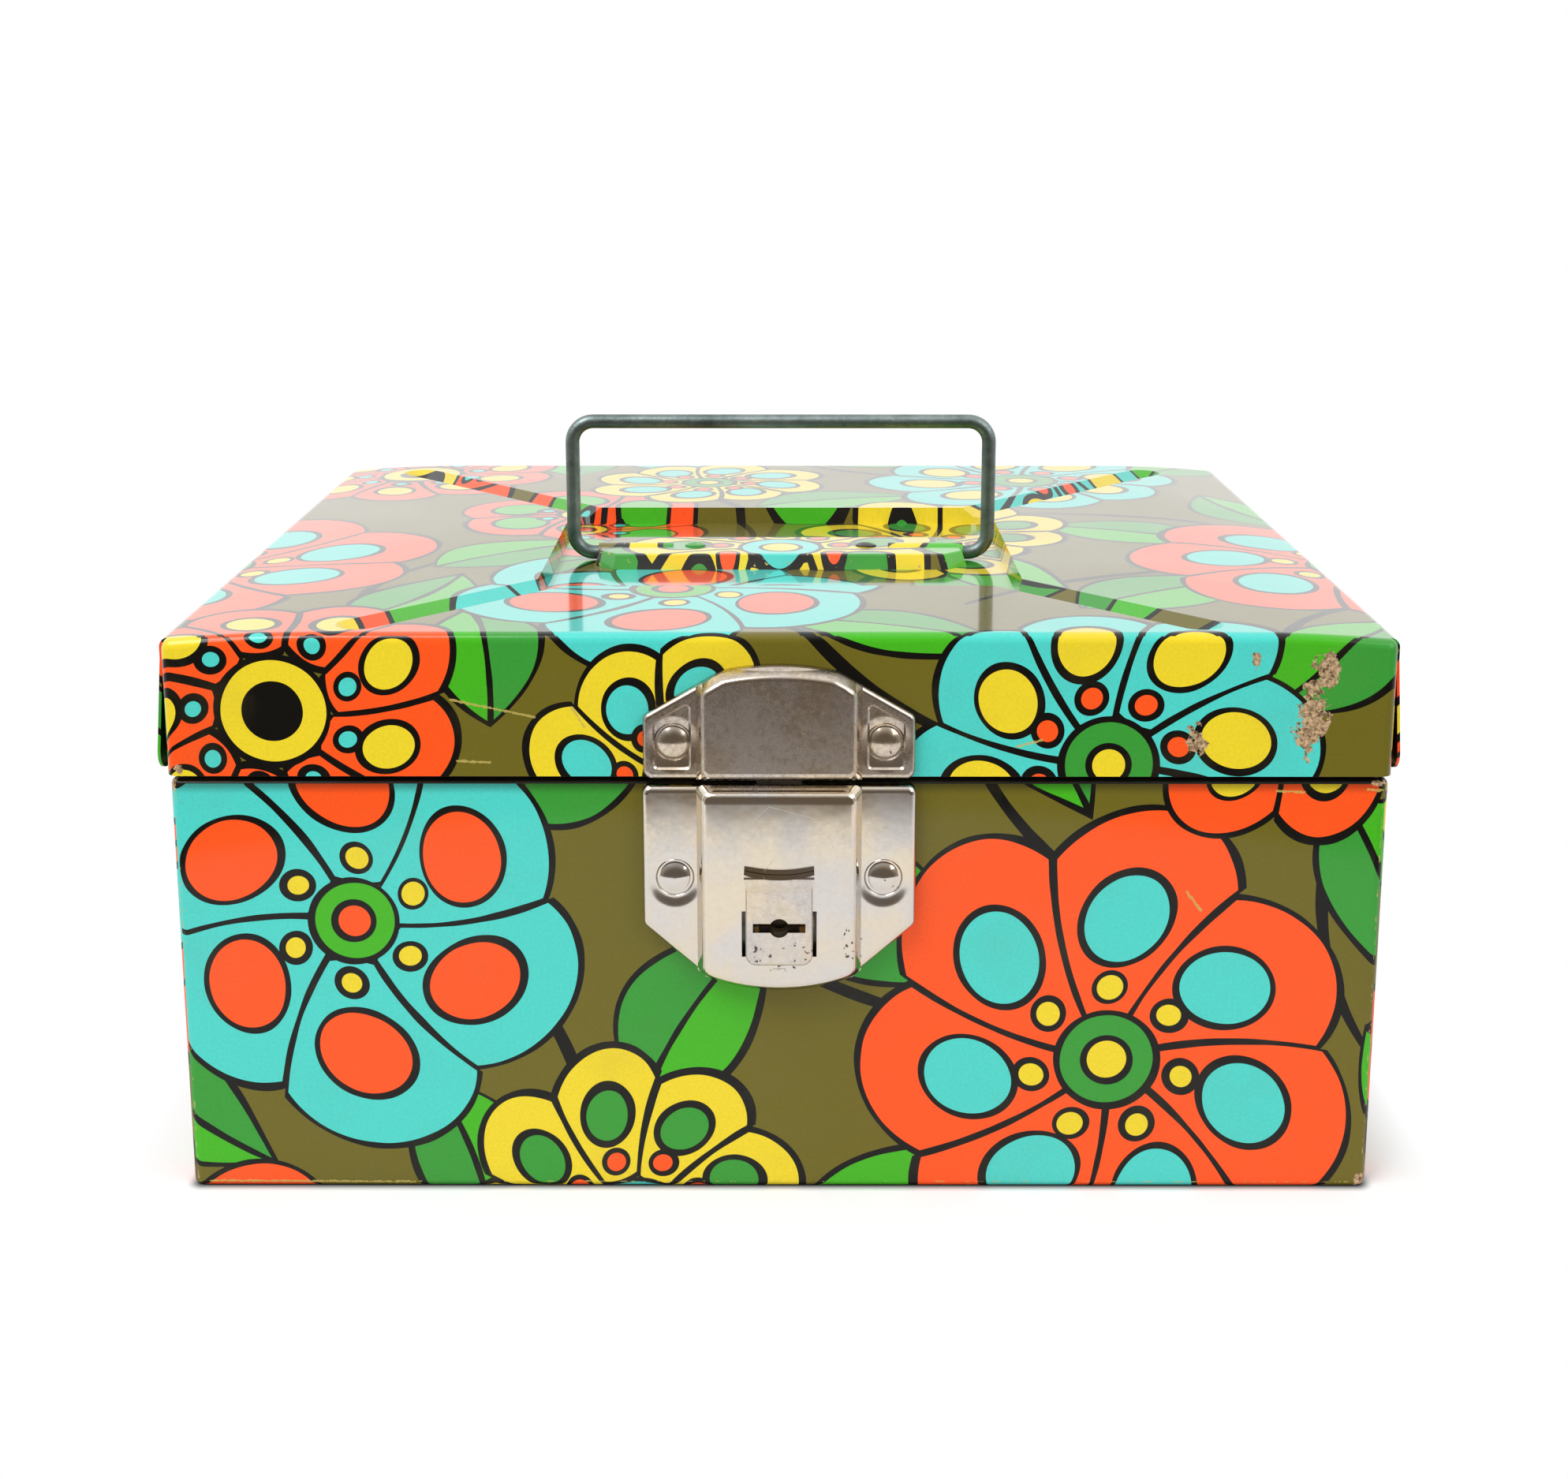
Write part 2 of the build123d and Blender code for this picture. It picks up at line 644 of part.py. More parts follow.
with BuildPart() as bail:
    foot = bail_width / 2 - bail_foot_radius - bail_foot_length
    with BuildLine(Plane.XZ.offset(-recess_y)) as bail_line:
        FilletPolyline(
            (-foot, pivot_z),
            (-bail_width / 2, pivot_z),
            (-bail_width / 2, pivot_z + bail_rise),
            (bail_width / 2, pivot_z + bail_rise),
            (bail_width / 2, pivot_z),
            (foot, pivot_z),
            radius=[bail_foot_radius, bail_top_radius, bail_top_radius, bail_foot_radius],
        )
    with BuildSketch(Plane(origin=bail_line.line @ 0, z_dir=bail_line.line % 0)):
        Circle(wire_diameter / 2)
    sweep()

handle_rivet_pair = rivet_row(
    handle_rivet_seats,
    Vector(0, 0, 1),
    handle_rivet_head,
    handle_head_height,
    rivet_shank,
    bracket_height + sheet,
    rivet_tail,
    tail_height,
)
with BuildPart() as handle_rivets:
    add(handle_rivet_pair)

# ---- Catch on the lid -------------------------------------------------------------------------------
catch_shape = (catch_half_width, lid_edge, 1, catch_side, catch_knee, catch_height, catch_bow)
catch_blank = stamped_plate(catch_shape, lid_front, wing_rise, cover_rise, catch_edge, rim_depth)
with BuildPart() as catch_cover:
    add(catch_blank)
    add(catch_drills, mode=Mode.SUBTRACT)
    for seat in catch_rivet_seats:
        with BuildSketch(Plane.XZ.offset(-seat.Y)):
            with Locations((seat.X, seat.Z)):
                Circle(dimple_radius)
        extrude(amount=-dimple_depth, taper=dimple_draft, mode=Mode.SUBTRACT)
    with BuildSketch(Plane.XZ.offset(lid_front - sheet)):
        with Locations((0, lid_edge)):
            Rectangle(tongue_width + 2 * tongue_slot_play, 4 * cover_sheet)
    extrude(amount=sheet + hasp_sheet + play, mode=Mode.SUBTRACT)

catch_rivet_pair = rivet_row(
    [seat + Vector(0, dimple_depth, 0) for seat in catch_rivet_seats],
    Vector(0, -1, 0),
    catch_rivet_head,
    catch_head_height,
    rivet_shank,
    wing_rise - rim_depth - dimple_depth + sheet,
    rivet_tail,
    tail_height,
)
with BuildPart() as catch_rivets:
    add(catch_rivet_pair)

with BuildPart() as hasp:
    with BuildSketch(Plane.XZ.offset(lid_front)) as hasp_blank:
        with Locations((0, lid_edge + hasp_plate_lift + hasp_plate_height / 2)):
            Rectangle(2 * hasp_half_width, hasp_plate_height)
        with Locations((0, (lid_edge + hasp_plate_lift + tongue_tip) / 2)):
            Rectangle(tongue_width, lid_edge + hasp_plate_lift - tongue_tip)
        chamfer(hasp_blank.vertices().group_by(Axis.Y)[0], tongue_bevel)
        with Locations((tongue_width / 2, notch_z + notch_height / 2)):
            Rectangle(2 * notch_depth, notch_height, mode=Mode.SUBTRACT)
    extrude(amount=hasp_sheet)
    add(catch_drills, mode=Mode.SUBTRACT)

# ---- Lock case on the tray ----------------------------------------------------------------------------
case_shape = (case_half_width, case_top, -1, case_side, case_knee, case_height, case_bow)
case_blank = stamped_plate(case_shape, body_front, case_wing, case_rise, case_edge, 0)
with BuildPart() as lock_case:
    add(case_blank)
    add(lock_drills, mode=Mode.SUBTRACT)
    for seat in lock_rivet_seats:
        with BuildSketch(Plane.XZ.offset(-seat.Y)):
            with Locations((seat.X, seat.Z)):
                Circle(dimple_radius)
        extrude(amount=-dimple_depth, taper=dimple_draft, mode=Mode.SUBTRACT)
    with BuildSketch(Plane.XZ.offset(body_front)):
        with Locations((0, case_top)):
            Rectangle(tongue_width + 2 * tongue_slot_play, 4 * cover_sheet)
    extrude(amount=tongue_face + play - body_front, mode=Mode.SUBTRACT)
    with BuildSketch(Plane.XZ.offset(case_face + play)):
        with Locations((0, (window_low + window_high) / 2)):
            Rectangle(window_width, window_high - window_low)
    extrude(amount=-2 * cover_sheet, mode=Mode.SUBTRACT)
    with BuildSketch(Plane.XZ.offset(case_face - cover_sheet / 2)):
        with Locations((0, case_top - tab_drop - tab_height / 2)):
            RectangleRounded(tab_width, tab_height, tab_height / 4)
    extrude(amount=cover_sheet / 2 + tab_rise)

lock_rivet_pair = rivet_row(
    [seat + Vector(0, dimple_depth, 0) for seat in lock_rivet_seats],
    Vector(0, -1, 0),
    catch_rivet_head,
    catch_head_height,
    rivet_shank,
    case_wing - dimple_depth + sheet,
    rivet_tail,
    tail_height,
)
with BuildPart() as lock_rivets:
    add(lock_rivet_pair)

# ---- Inside the lock ------------------------------------------------------------------------------------
bolt_left = tongue_width / 2 - notch_depth + play
rail_left = tongue_width / 2 + tongue_slot_play
rail_right = bolt_left + bolt_length + play
slide_low = keyhole_z - slide_foot
waist_z = keyhole_z + slide_waist
slide_top = bolt_z + button_travel + drive_pin_radius + play + slide_top_margin
slide_right = drive_pin_side + bolt_travel + drive_pin_radius + play + slide_top_margin
spring_foot = keyhole_z - spring_foot_drop
spring_y = (plate_face + case_face - cover_sheet) / 2
shelf_reach = slide_face - plate_face

back_inset = cover_sheet + play
back_outline = plate_outline(case_shape, case_half_width - back_inset, back_inset, back_inset)
back_blank = plate_block(back_outline, body_front, plate_sheet, wing_corner - back_inset, knee_round)
with BuildPart() as lock_back_plate:
    add(back_blank)
    # Two rails guide the bolt, and a shelf carries the spring.
    with BuildSketch(Plane.XZ.offset(plate_face)):
        for side in (-1, 1):
            with Locations(((rail_left + rail_right) / 2, bolt_z + side * (bolt_height / 2 + play + rail_height / 2))):
                Rectangle(rail_right - rail_left, rail_height)
    extrude(amount=bolt_face - plate_face)
    with BuildSketch(Plane.XZ.offset(plate_face)):
        with Locations((-spring_side, spring_foot - shelf_sheet / 2)):
            Rectangle(shelf_width, shelf_sheet)
    extrude(amount=shelf_reach)
    add(lock_drills, mode=Mode.SUBTRACT)

with BuildPart() as latch_bolt:
    with BuildSketch(Plane.XZ.offset(bolt_back)):
        with Locations((bolt_left + bolt_length / 2, bolt_z)):
            RectangleRounded(bolt_length, bolt_height, bolt_height / 8)
    extrude(amount=bolt_sheet)
    with BuildSketch(Plane.XZ.offset(bolt_back)):
        with Locations((bolt_left + notch_depth / 2, bolt_z)):
            Rectangle(notch_depth, notch_height - 2 * play)
    extrude(amount=-(bolt_back - lid_front - play / 3))
    with BuildSketch(Plane.XZ.offset(bolt_face)):
        with Locations((drive_pin_side, bolt_z)):
            Circle(drive_pin_radius)
    extrude(amount=slide_face - bolt_face)

with BuildPart() as latch_slide:
    with BuildSketch(Plane.XZ.offset(slide_back)) as slide_blank:
        with Locations(((slide_right - slide_left) / 2, (waist_z + slide_top) / 2)):
            RectangleRounded(slide_right + slide_left, slide_top - waist_z, slide_corner)
        with Locations((0, (slide_low + waist_z + slide_waist) / 2)):
            RectangleRounded(slide_stem, waist_z + slide_waist - slide_low, slide_corner)
        with Locations((0, keyhole_z)):
            Rectangle(key_slot_width, key_slot_height, mode=Mode.SUBTRACT)
            Circle(key_bore, mode=Mode.SUBTRACT)
        # Slanting slot: as the slide goes down, it draws the bolt's pin sideways.
        slot_run = hypot(bolt_travel, button_travel)
        slot_turn = degrees(atan2(button_travel, bolt_travel))
        slot_middle = (drive_pin_side + bolt_travel / 2, bolt_z + button_travel / 2)
        with Locations(Location((*slot_middle, 0), (0, 0, slot_turn))):
            SlotCenterToCenter(slot_run, 2 * (drive_pin_radius + play), mode=Mode.SUBTRACT)
    extrude(amount=slide_sheet)
    # The ear that bears on the spring is bent back from the slide's left edge.
    ear_far = spring_side + shelf_width / 2
    with BuildSketch(Plane.XZ.offset(plate_face + play)):
        with Locations((-(ear_far + slide_left - slide_sheet) / 2, spring_foot + spring_length + slide_sheet / 2)):
            Rectangle(ear_far - slide_left + slide_sheet, slide_sheet)
    extrude(amount=slide_face - plate_face - play)

cup_back = slide_back - cup_depth
with BuildPart() as tumbler_cup:
    with BuildSketch(Plane.XZ.offset(cup_back)):
        with Locations((0, keyhole_z)):
            Circle(tumbler_radius + play + cup_sheet)
            Circle(tumbler_radius - cup_lip, mode=Mode.SUBTRACT)
    extrude(amount=cup_sheet)
    with BuildSketch(Plane.XZ.offset(cup_back + cup_sheet)):
        with Locations((0, keyhole_z)):
            Circle(tumbler_radius + play + cup_sheet)
            Circle(tumbler_radius + play, mode=Mode.SUBTRACT)
        # A quarter of the wall is open, and the tumbler's lug turns in it.
        with Locations((-lug_width, keyhole_z - lug_width)):
            Rectangle(
                2 * tumbler_radius + lug_width,
                2 * tumbler_radius + lug_width,
                align=(Align.MIN, Align.MIN),
                mode=Mode.SUBTRACT,
            )
    extrude(amount=cup_depth - cup_sheet)

tumbler_gap = (cup_depth - cup_sheet - tumbler_sheet) / 2
with BuildPart() as lock_tumbler:
    with BuildSketch(Plane.XZ.offset(cup_back + cup_sheet + tumbler_gap)):
        with Locations((0, keyhole_z)):
            Circle(tumbler_radius)
        with Locations(((tumbler_radius + lug_length) / 2, keyhole_z)):
            Rectangle(tumbler_radius + lug_length, lug_width)
        with Locations((0, keyhole_z)):
            Rectangle(tumbler_slot_width, key_slot_height, mode=Mode.SUBTRACT)
            Circle(key_bore, mode=Mode.SUBTRACT)
    extrude(amount=tumbler_sheet)

with BuildPart() as button_spring:
    with BuildLine() as coil:
        Helix(
            pitch=(spring_length - spring_wire) / spring_turns,
            height=spring_length - spring_wire,
            radius=spring_radius,
            center=(-spring_side, -spring_y, spring_foot + spring_wire / 2),
        )
    with BuildSketch(Plane(origin=coil.line @ 0, z_dir=coil.line % 0)):
        Circle(spring_wire / 2)
    sweep(is_frenet=True)

button_top = case_top - button_drop
button_low = button_top - button_height
button_face = button_back + button_thickness
ledge_face = case_face + ledge_reach
ledge_low = button_top - ledge_height
hollow_radius = (ledge_width ** 2 / 4 + ledge_hollow ** 2) / (2 * ledge_hollow)
ledge_foot = button_width / 2 - button_edge / 2
flare = ledge_width / 2 - ledge_foot
flare_z = button_top - 2 * ledge_nose
with BuildPart() as thumb_ledge:
    # A cove that ends in a rounded lip.
    with BuildSketch(Plane.YZ.offset(-ledge_width / 2)):
        with BuildLine():
            Polyline(
                (-ledge_face + ledge_nose, button_top),
                (-button_back, button_top),
                (-button_back, ledge_low - ledge_nose),
                (-button_face, ledge_low - ledge_nose),
            )
            ThreePointArc(
                (-button_face, ledge_low - ledge_nose),
                (-button_face - (ledge_face - button_face) * 0.3, ledge_low + ledge_nose * 0.2),
                (-ledge_face, button_top - 2 * ledge_nose),
            )
            ThreePointArc(
                (-ledge_face, button_top - 2 * ledge_nose),
                (-ledge_face + ledge_nose * 0.2, button_top - ledge_nose * 0.6),
                (-ledge_face + ledge_nose, button_top),
            )
        make_face()
    extrude(amount=ledge_width)
    # Its sides flare out from the button's face.
    with BuildSketch(Plane.XZ.offset(button_back)):
        with BuildLine():
            Polyline((-ledge_foot, ledge_low - 2 * ledge_nose), (ledge_foot, ledge_low - 2 * ledge_nose))
            Polyline((-ledge_width / 2, flare_z), (-ledge_width / 2, button_top + play))
            Polyline((-ledge_width / 2, button_top + play), (ledge_width / 2, button_top + play))
            Polyline((ledge_width / 2, button_top + play), (ledge_width / 2, flare_z))
            for hand in (-1, 1):
                ThreePointArc(
                    (hand * ledge_foot, ledge_low - 2 * ledge_nose),
                    (hand * (ledge_foot + flare / 4), (ledge_low - 2 * ledge_nose + flare_z) / 2),
                    (hand * ledge_width / 2, flare_z),
                )
        make_face()
    extrude(amount=ledge_face - button_back + play, mode=Mode.INTERSECT)
    with BuildSketch(Plane.XZ.offset(button_back - play)):
        with Locations((0, button_top - ledge_hollow + hollow_radius)):
            Circle(hollow_radius)
    extrude(amount=2 * ledge_reach, mode=Mode.SUBTRACT)

with BuildPart() as slide_button:
    with BuildSketch(Plane.XZ.offset(button_back)) as button_blank:
        with Locations((0, (button_low + button_top) / 2 - ledge_nose)):
            Rectangle(button_width, button_top - button_low - 2 * ledge_nose)
        fillet(button_blank.vertices().group_by(Axis.Y)[0], button_corner)
    extrude(amount=button_thickness)
    fillet(slide_button.faces().sort_by(Axis.Y)[0].edges(), button_edge)
    add(thumb_ledge.part)
    with BuildSketch(Plane.XZ.offset(slide_face)):
        with Locations((0, keyhole_z)):
            Rectangle(stem_width, 2 * stem_above_key)
    extrude(amount=button_back - slide_face)
    with BuildSketch(Plane.XZ.offset(slide_face)):
        with Locations((0, keyhole_z)):
            Rectangle(key_slot_width, key_slot_height)
            Circle(key_bore)
    extrude(amount=ledge_face - slide_face, mode=Mode.SUBTRACT)

# ---- Hinge ---------------------------------------------------------------------------------------------------
body_leaf = hinge_leaf(body_front, -1, 0)
lid_leaf = hinge_leaf(lid_front, 1, 1)
with BuildPart() as hinge_leaf_body:
    add(body_leaf)
    add(hinge_body_drills, mode=Mode.SUBTRACT)

with BuildPart() as hinge_leaf_lid:
    add(lid_leaf)
    add(hinge_lid_drills, mode=Mode.SUBTRACT)

with BuildPart() as hinge_pin:
    with BuildSketch(Plane.YZ.offset(-hinge_length / 2 - pin_overhang)):
        with Locations((axis_y, axis_z)):
            Circle(pin_radius)
    extrude(amount=hinge_length + 2 * pin_overhang)
    chamfer(hinge_pin.edges().group_by(Axis.X)[0], pin_radius / 4)
    chamfer(hinge_pin.edges().group_by(Axis.X)[-1], pin_radius / 4)

body_rivet_row, lid_rivet_row = [
    rivet_row(
        seats,
        Vector(0, 1, 0),
        hinge_rivet_head,
        hinge_head_height,
        hinge_rivet_shank,
        leaf_sheet + sheet,
        hinge_rivet_head,
        hinge_head_height,
    )
    for seats in (hinge_body_seats, hinge_lid_seats)
]
with BuildPart() as hinge_rivets_body:
    add(body_rivet_row)

with BuildPart() as hinge_rivets_lid:
    add(lid_rivet_row)

# ---- Files ----------------------------------------------------------------------------------------------------
os.makedirs("parts", exist_ok=True)
body_tray.part.label = "body_tray"
export_step(body_tray.part, "parts/body_tray.step")
lid_pan.part.label = "lid_pan"
export_step(lid_pan.part, "parts/lid_pan.step")
handle_bracket.part.label = "handle_bracket"
export_step(handle_bracket.part, "parts/handle_bracket.step")
bail.part.label = "bail"
export_step(bail.part, "parts/bail.step")
handle_rivets.part.label = "handle_rivets"
export_step(handle_rivets.part, "parts/handle_rivets.step")
catch_cover.part.label = "catch_cover"
export_step(catch_cover.part, "parts/catch_cover.step")
catch_rivets.part.label = "catch_rivets"
export_step(catch_rivets.part, "parts/catch_rivets.step")
hasp.part.label = "hasp"
export_step(hasp.part, "parts/hasp.step")
lock_case.part.label = "lock_case"
export_step(lock_case.part, "parts/lock_case.step")
lock_rivets.part.label = "lock_rivets"
export_step(lock_rivets.part, "parts/lock_rivets.step")
lock_back_plate.part.label = "lock_back_plate"
export_step(lock_back_plate.part, "parts/lock_back_plate.step")
latch_bolt.part.label = "latch_bolt"
export_step(latch_bolt.part, "parts/latch_bolt.step")
latch_slide.part.label = "latch_slide"
export_step(latch_slide.part, "parts/latch_slide.step")
slide_button.part.label = "slide_button"
export_step(slide_button.part, "parts/slide_button.step")
tumbler_cup.part.label = "tumbler_cup"
export_step(tumbler_cup.part, "parts/tumbler_cup.step")
lock_tumbler.part.label = "lock_tumbler"
export_step(lock_tumbler.part, "parts/lock_tumbler.step")
button_spring.part.label = "button_spring"
export_step(button_spring.part, "parts/button_spring.step")
hinge_leaf_body.part.label = "hinge_leaf_body"
export_step(hinge_leaf_body.part, "parts/hinge_leaf_body.step")
hinge_leaf_lid.part.label = "hinge_leaf_lid"
export_step(hinge_leaf_lid.part, "parts/hinge_leaf_lid.step")
hinge_pin.part.label = "hinge_pin"
export_step(hinge_pin.part, "parts/hinge_pin.step")
hinge_rivets_body.part.label = "hinge_rivets_body"
export_step(hinge_rivets_body.part, "parts/hinge_rivets_body.step")
hinge_rivets_lid.part.label = "hinge_rivets_lid"
export_step(hinge_rivets_lid.part, "parts/hinge_rivets_lid.step")
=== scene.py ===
import math
import bpy
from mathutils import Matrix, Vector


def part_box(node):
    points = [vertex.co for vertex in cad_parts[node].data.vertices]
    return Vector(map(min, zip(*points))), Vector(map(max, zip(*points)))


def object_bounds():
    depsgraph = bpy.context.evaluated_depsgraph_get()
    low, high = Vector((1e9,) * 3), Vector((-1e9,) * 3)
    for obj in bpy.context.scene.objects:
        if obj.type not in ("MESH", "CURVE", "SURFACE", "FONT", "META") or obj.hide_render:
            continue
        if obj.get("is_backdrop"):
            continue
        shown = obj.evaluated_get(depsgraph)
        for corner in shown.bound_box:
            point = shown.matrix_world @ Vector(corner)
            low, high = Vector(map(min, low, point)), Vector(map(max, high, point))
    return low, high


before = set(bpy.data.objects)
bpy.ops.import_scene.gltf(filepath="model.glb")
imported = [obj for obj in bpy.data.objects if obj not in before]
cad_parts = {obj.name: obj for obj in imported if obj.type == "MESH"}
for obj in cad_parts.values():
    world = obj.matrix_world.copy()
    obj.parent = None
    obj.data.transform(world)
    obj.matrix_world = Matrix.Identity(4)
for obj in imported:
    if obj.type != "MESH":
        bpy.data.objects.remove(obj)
cad_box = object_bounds()
MM = 0.001                   # a millimetre in the scene's metres

# ---- Tray -------------------------------------------------------------------------------------
# Folded from one sheet of tinplate that was printed flat with large flowers and varnished.
# Its walls step in to a neck that the lid closes over, and the rim is turned back inside.
INK_HALF = 0.78              # half the width of the print's black outlines, mm
TILE = (330.0, 260.0, 1000.0)  # the printed repeat, mm; the sheet is flat, so the third number has no effect
OLIVE = "#6B621B"
ORANGE = "#FB551A"
TURQUOISE = "#4DCEC3"
LEAF_GREEN = "#43B01C"
DEEP_GREEN = "#379634"
YELLOW = "#EAD02A"
INK = "#0B0906"


def paint(code):
    """A written colour as the linear colour that a shader socket takes."""
    parts = [int(code[i:i + 2], 16) / 255 for i in (1, 3, 5)]
    return [p / 12.92 if p <= 0.04045 else ((p + 0.055) / 1.055) ** 2.4 for p in parts] + [1.0]


def feed(tree, socket, value):
    """Gives a socket a number, a vector, a colour or another node's output."""
    if isinstance(value, bpy.types.NodeSocket):
        tree.links.new(value, socket)
    else:
        socket.default_value = value


def calc(tree, operation, *values):
    """Math node, such as calc(tree, "ADD", a, b)."""
    node = tree.nodes.new("ShaderNodeMath")
    node.operation = operation
    for socket, value in zip(node.inputs, values):
        feed(tree, socket, value)
    return node.outputs[0]


def vector_calc(tree, operation, *values):
    """Vector Math node; LENGTH and DOT_PRODUCT give a number."""
    node = tree.nodes.new("ShaderNodeVectorMath")
    node.operation = operation
    for socket, value in zip(node.inputs, values):
        feed(tree, socket, value)
    return node.outputs["Value" if operation in ("LENGTH", "DOT_PRODUCT") else "Vector"]


def split(tree, vector):
    """The three numbers of a vector."""
    node = tree.nodes.new("ShaderNodeSeparateXYZ")
    tree.links.new(vector, node.inputs[0])
    return node.outputs


def joined(tree, *numbers):
    """A vector from numbers or outputs."""
    node = tree.nodes.new("ShaderNodeCombineXYZ")
    for socket, value in zip(node.inputs, numbers):
        feed(tree, socket, value)
    return node.outputs[0]


def over(tree, mask, under, upper):
    """The colour upper laid on the colour under where mask is 1."""
    node = tree.nodes.new("ShaderNodeMix")
    node.data_type = "RGBA"
    feed(tree, node.inputs["Factor"], mask)
    for socket, value in zip((socket for socket in node.inputs if socket.type == "RGBA"), (under, upper)):
        feed(tree, socket, value)
    return next(socket for socket in node.outputs if socket.type == "RGBA")


def noise(tree, place, scale, detail=2.0, rough=0.5):
    """Noise between 0 and 1 at a place in mm; scale is in bumps per mm."""
    node = tree.nodes.new("ShaderNodeTexNoise")
    feed(tree, node.inputs["Vector"], place)
    node.inputs["Scale"].default_value = scale
    node.inputs["Detail"].default_value = detail
    node.inputs["Roughness"].default_value = rough
    return node.outputs[0]


def ramp(tree, value, low, high, to_low=0.0, to_high=1.0, smooth=False):
    """The value's way from low to high as a number between to_low and to_high."""
    node = tree.nodes.new("ShaderNodeMapRange")
    node.interpolation_type = "SMOOTHSTEP" if smooth else "LINEAR"
    for socket, number in zip(node.inputs, (value, low, high, to_low, to_high)):
        feed(tree, socket, number)
    return node.outputs[0]


def new_group(name, inputs, outputs):
    """Shader group with inputs (name, kind, value) and outputs (name, kind)."""
    group = bpy.data.node_groups.new(name, "ShaderNodeTree")
    for socket_name, kind, value in inputs:
        socket = group.interface.new_socket(
            name=socket_name, in_out="INPUT", socket_type=f"NodeSocket{kind}")
        if value is not None:
            socket.default_value = value
    for socket_name, kind in outputs:
        group.interface.new_socket(name=socket_name, in_out="OUTPUT", socket_type=f"NodeSocket{kind}")
    given = group.nodes.new("NodeGroupInput").outputs
    return group, given, group.nodes.new("NodeGroupOutput").inputs


def use(tree, group, values):
    """The group placed in a tree with its inputs by name; gives its outputs."""
    node = tree.nodes.new("ShaderNodeGroup")
    node.node_tree = group
    for name, value in values.items():
        feed(tree, node.inputs[name], value)
    return node.outputs


def from_centre(tree, sheet, centre):
    """The way in mm from a motif's centre to a point of the sheet, across the repeat's borders."""
    half = [t / 2 for t in TILE]
    away = vector_calc(tree, "SUBTRACT", sheet, centre)
    return vector_calc(tree, "WRAP", away, half, [-h for h in half])


def both(tree, one, other):
    """Two masks together, 1 where both are 1; a number for one of them weakens the other."""
    return calc(tree, "MULTIPLY", one, other)


# One flower: petals that meet at inked seams, each with an oval heart, and seeds round the eye. Turn and
# Curl are in radians, Count is the number of petals, Waist and Heart are shares, and the rest are in mm.
BLOOM_SIZES = (
    "Turn", "Curl", "Count", "Length", "Width", "Waist", "Heart", "Dot Ring", "Dot", "Eye", "Pupil")
BLOOM_COLOURS = ("Petal Colour", "Heart Colour", "Dot Colour", "Eye Colour", "Pupil Colour")
UNEVEN = 0.06                # the share by which the petals of a flower differ in length
bloom, given, result = new_group(
    "bloom",
    [("Sheet", "Vector", None), ("Centre", "Vector", None), ("Ink Half", "Float", INK_HALF)]
    + [(name, "Float", 1.0) for name in BLOOM_SIZES]
    + [(name, "Color", None) for name in (*BLOOM_COLOURS, "Under")],
    [("Colour", "Color")],
)
away = from_centre(bloom, given["Sheet"], given["Centre"])
reach = vector_calc(bloom, "LENGTH", away)
away_x, away_y, _ = split(bloom, away)
angle = calc(bloom, "ARCTAN2", away_y, away_x)
length, width, ink = given["Length"], given["Width"], given["Ink Half"]
curl = calc(bloom, "MULTIPLY", given["Curl"], calc(bloom, "DIVIDE", reach, length))
curled = calc(bloom, "SUBTRACT", angle, calc(bloom, "ADD", given["Turn"], curl))
step = calc(bloom, "DIVIDE", 2 * math.pi, given["Count"])
half_step = calc(bloom, "MULTIPLY", step, 0.5)
folded = calc(bloom, "WRAP", curled, half_step, calc(bloom, "MULTIPLY", half_step, -1))
which = calc(bloom, "SUBTRACT", curled, folded)
waver = calc(bloom, "SINE", calc(bloom, "MULTIPLY", which, 2))
uneven = calc(bloom, "ADD", 1, calc(bloom, "MULTIPLY", waver, UNEVEN))
aside = calc(bloom, "ABSOLUTE", folded)
outward = calc(bloom, "MULTIPLY", reach, calc(bloom, "COSINE", aside))
along = calc(bloom, "DIVIDE", outward, uneven)
across = calc(bloom, "MULTIPLY", reach, calc(bloom, "SINE", aside))
middle = calc(bloom, "MULTIPLY", length, given["Waist"])
half_length = calc(bloom, "SUBTRACT", length, middle)
along_share = calc(bloom, "DIVIDE", calc(bloom, "SUBTRACT", along, middle), half_length)
oval = vector_calc(bloom, "LENGTH", joined(bloom, along_share, calc(bloom, "DIVIDE", across, width), 0))
beyond = calc(bloom, "MULTIPLY", calc(bloom, "SUBTRACT", oval, 1), width)
painted = calc(bloom, "LESS_THAN", beyond, 0)
seam_way = calc(bloom, "MULTIPLY", reach, calc(bloom, "SINE", calc(bloom, "SUBTRACT", half_step, aside)))
seam = both(bloom, calc(bloom, "LESS_THAN", seam_way, ink), painted)
in_heart = calc(bloom, "MULTIPLY", calc(bloom, "SUBTRACT", oval, given["Heart"]), width)
colour = over(bloom, painted, given["Under"], given["Petal Colour"])
colour = over(bloom, calc(bloom, "LESS_THAN", in_heart, 0), colour, given["Heart Colour"])
for border in (beyond, in_heart):
    colour = over(bloom, calc(bloom, "LESS_THAN", calc(bloom, "ABSOLUTE", border), ink), colour, paint(INK))
colour = over(bloom, seam, colour, paint(INK))
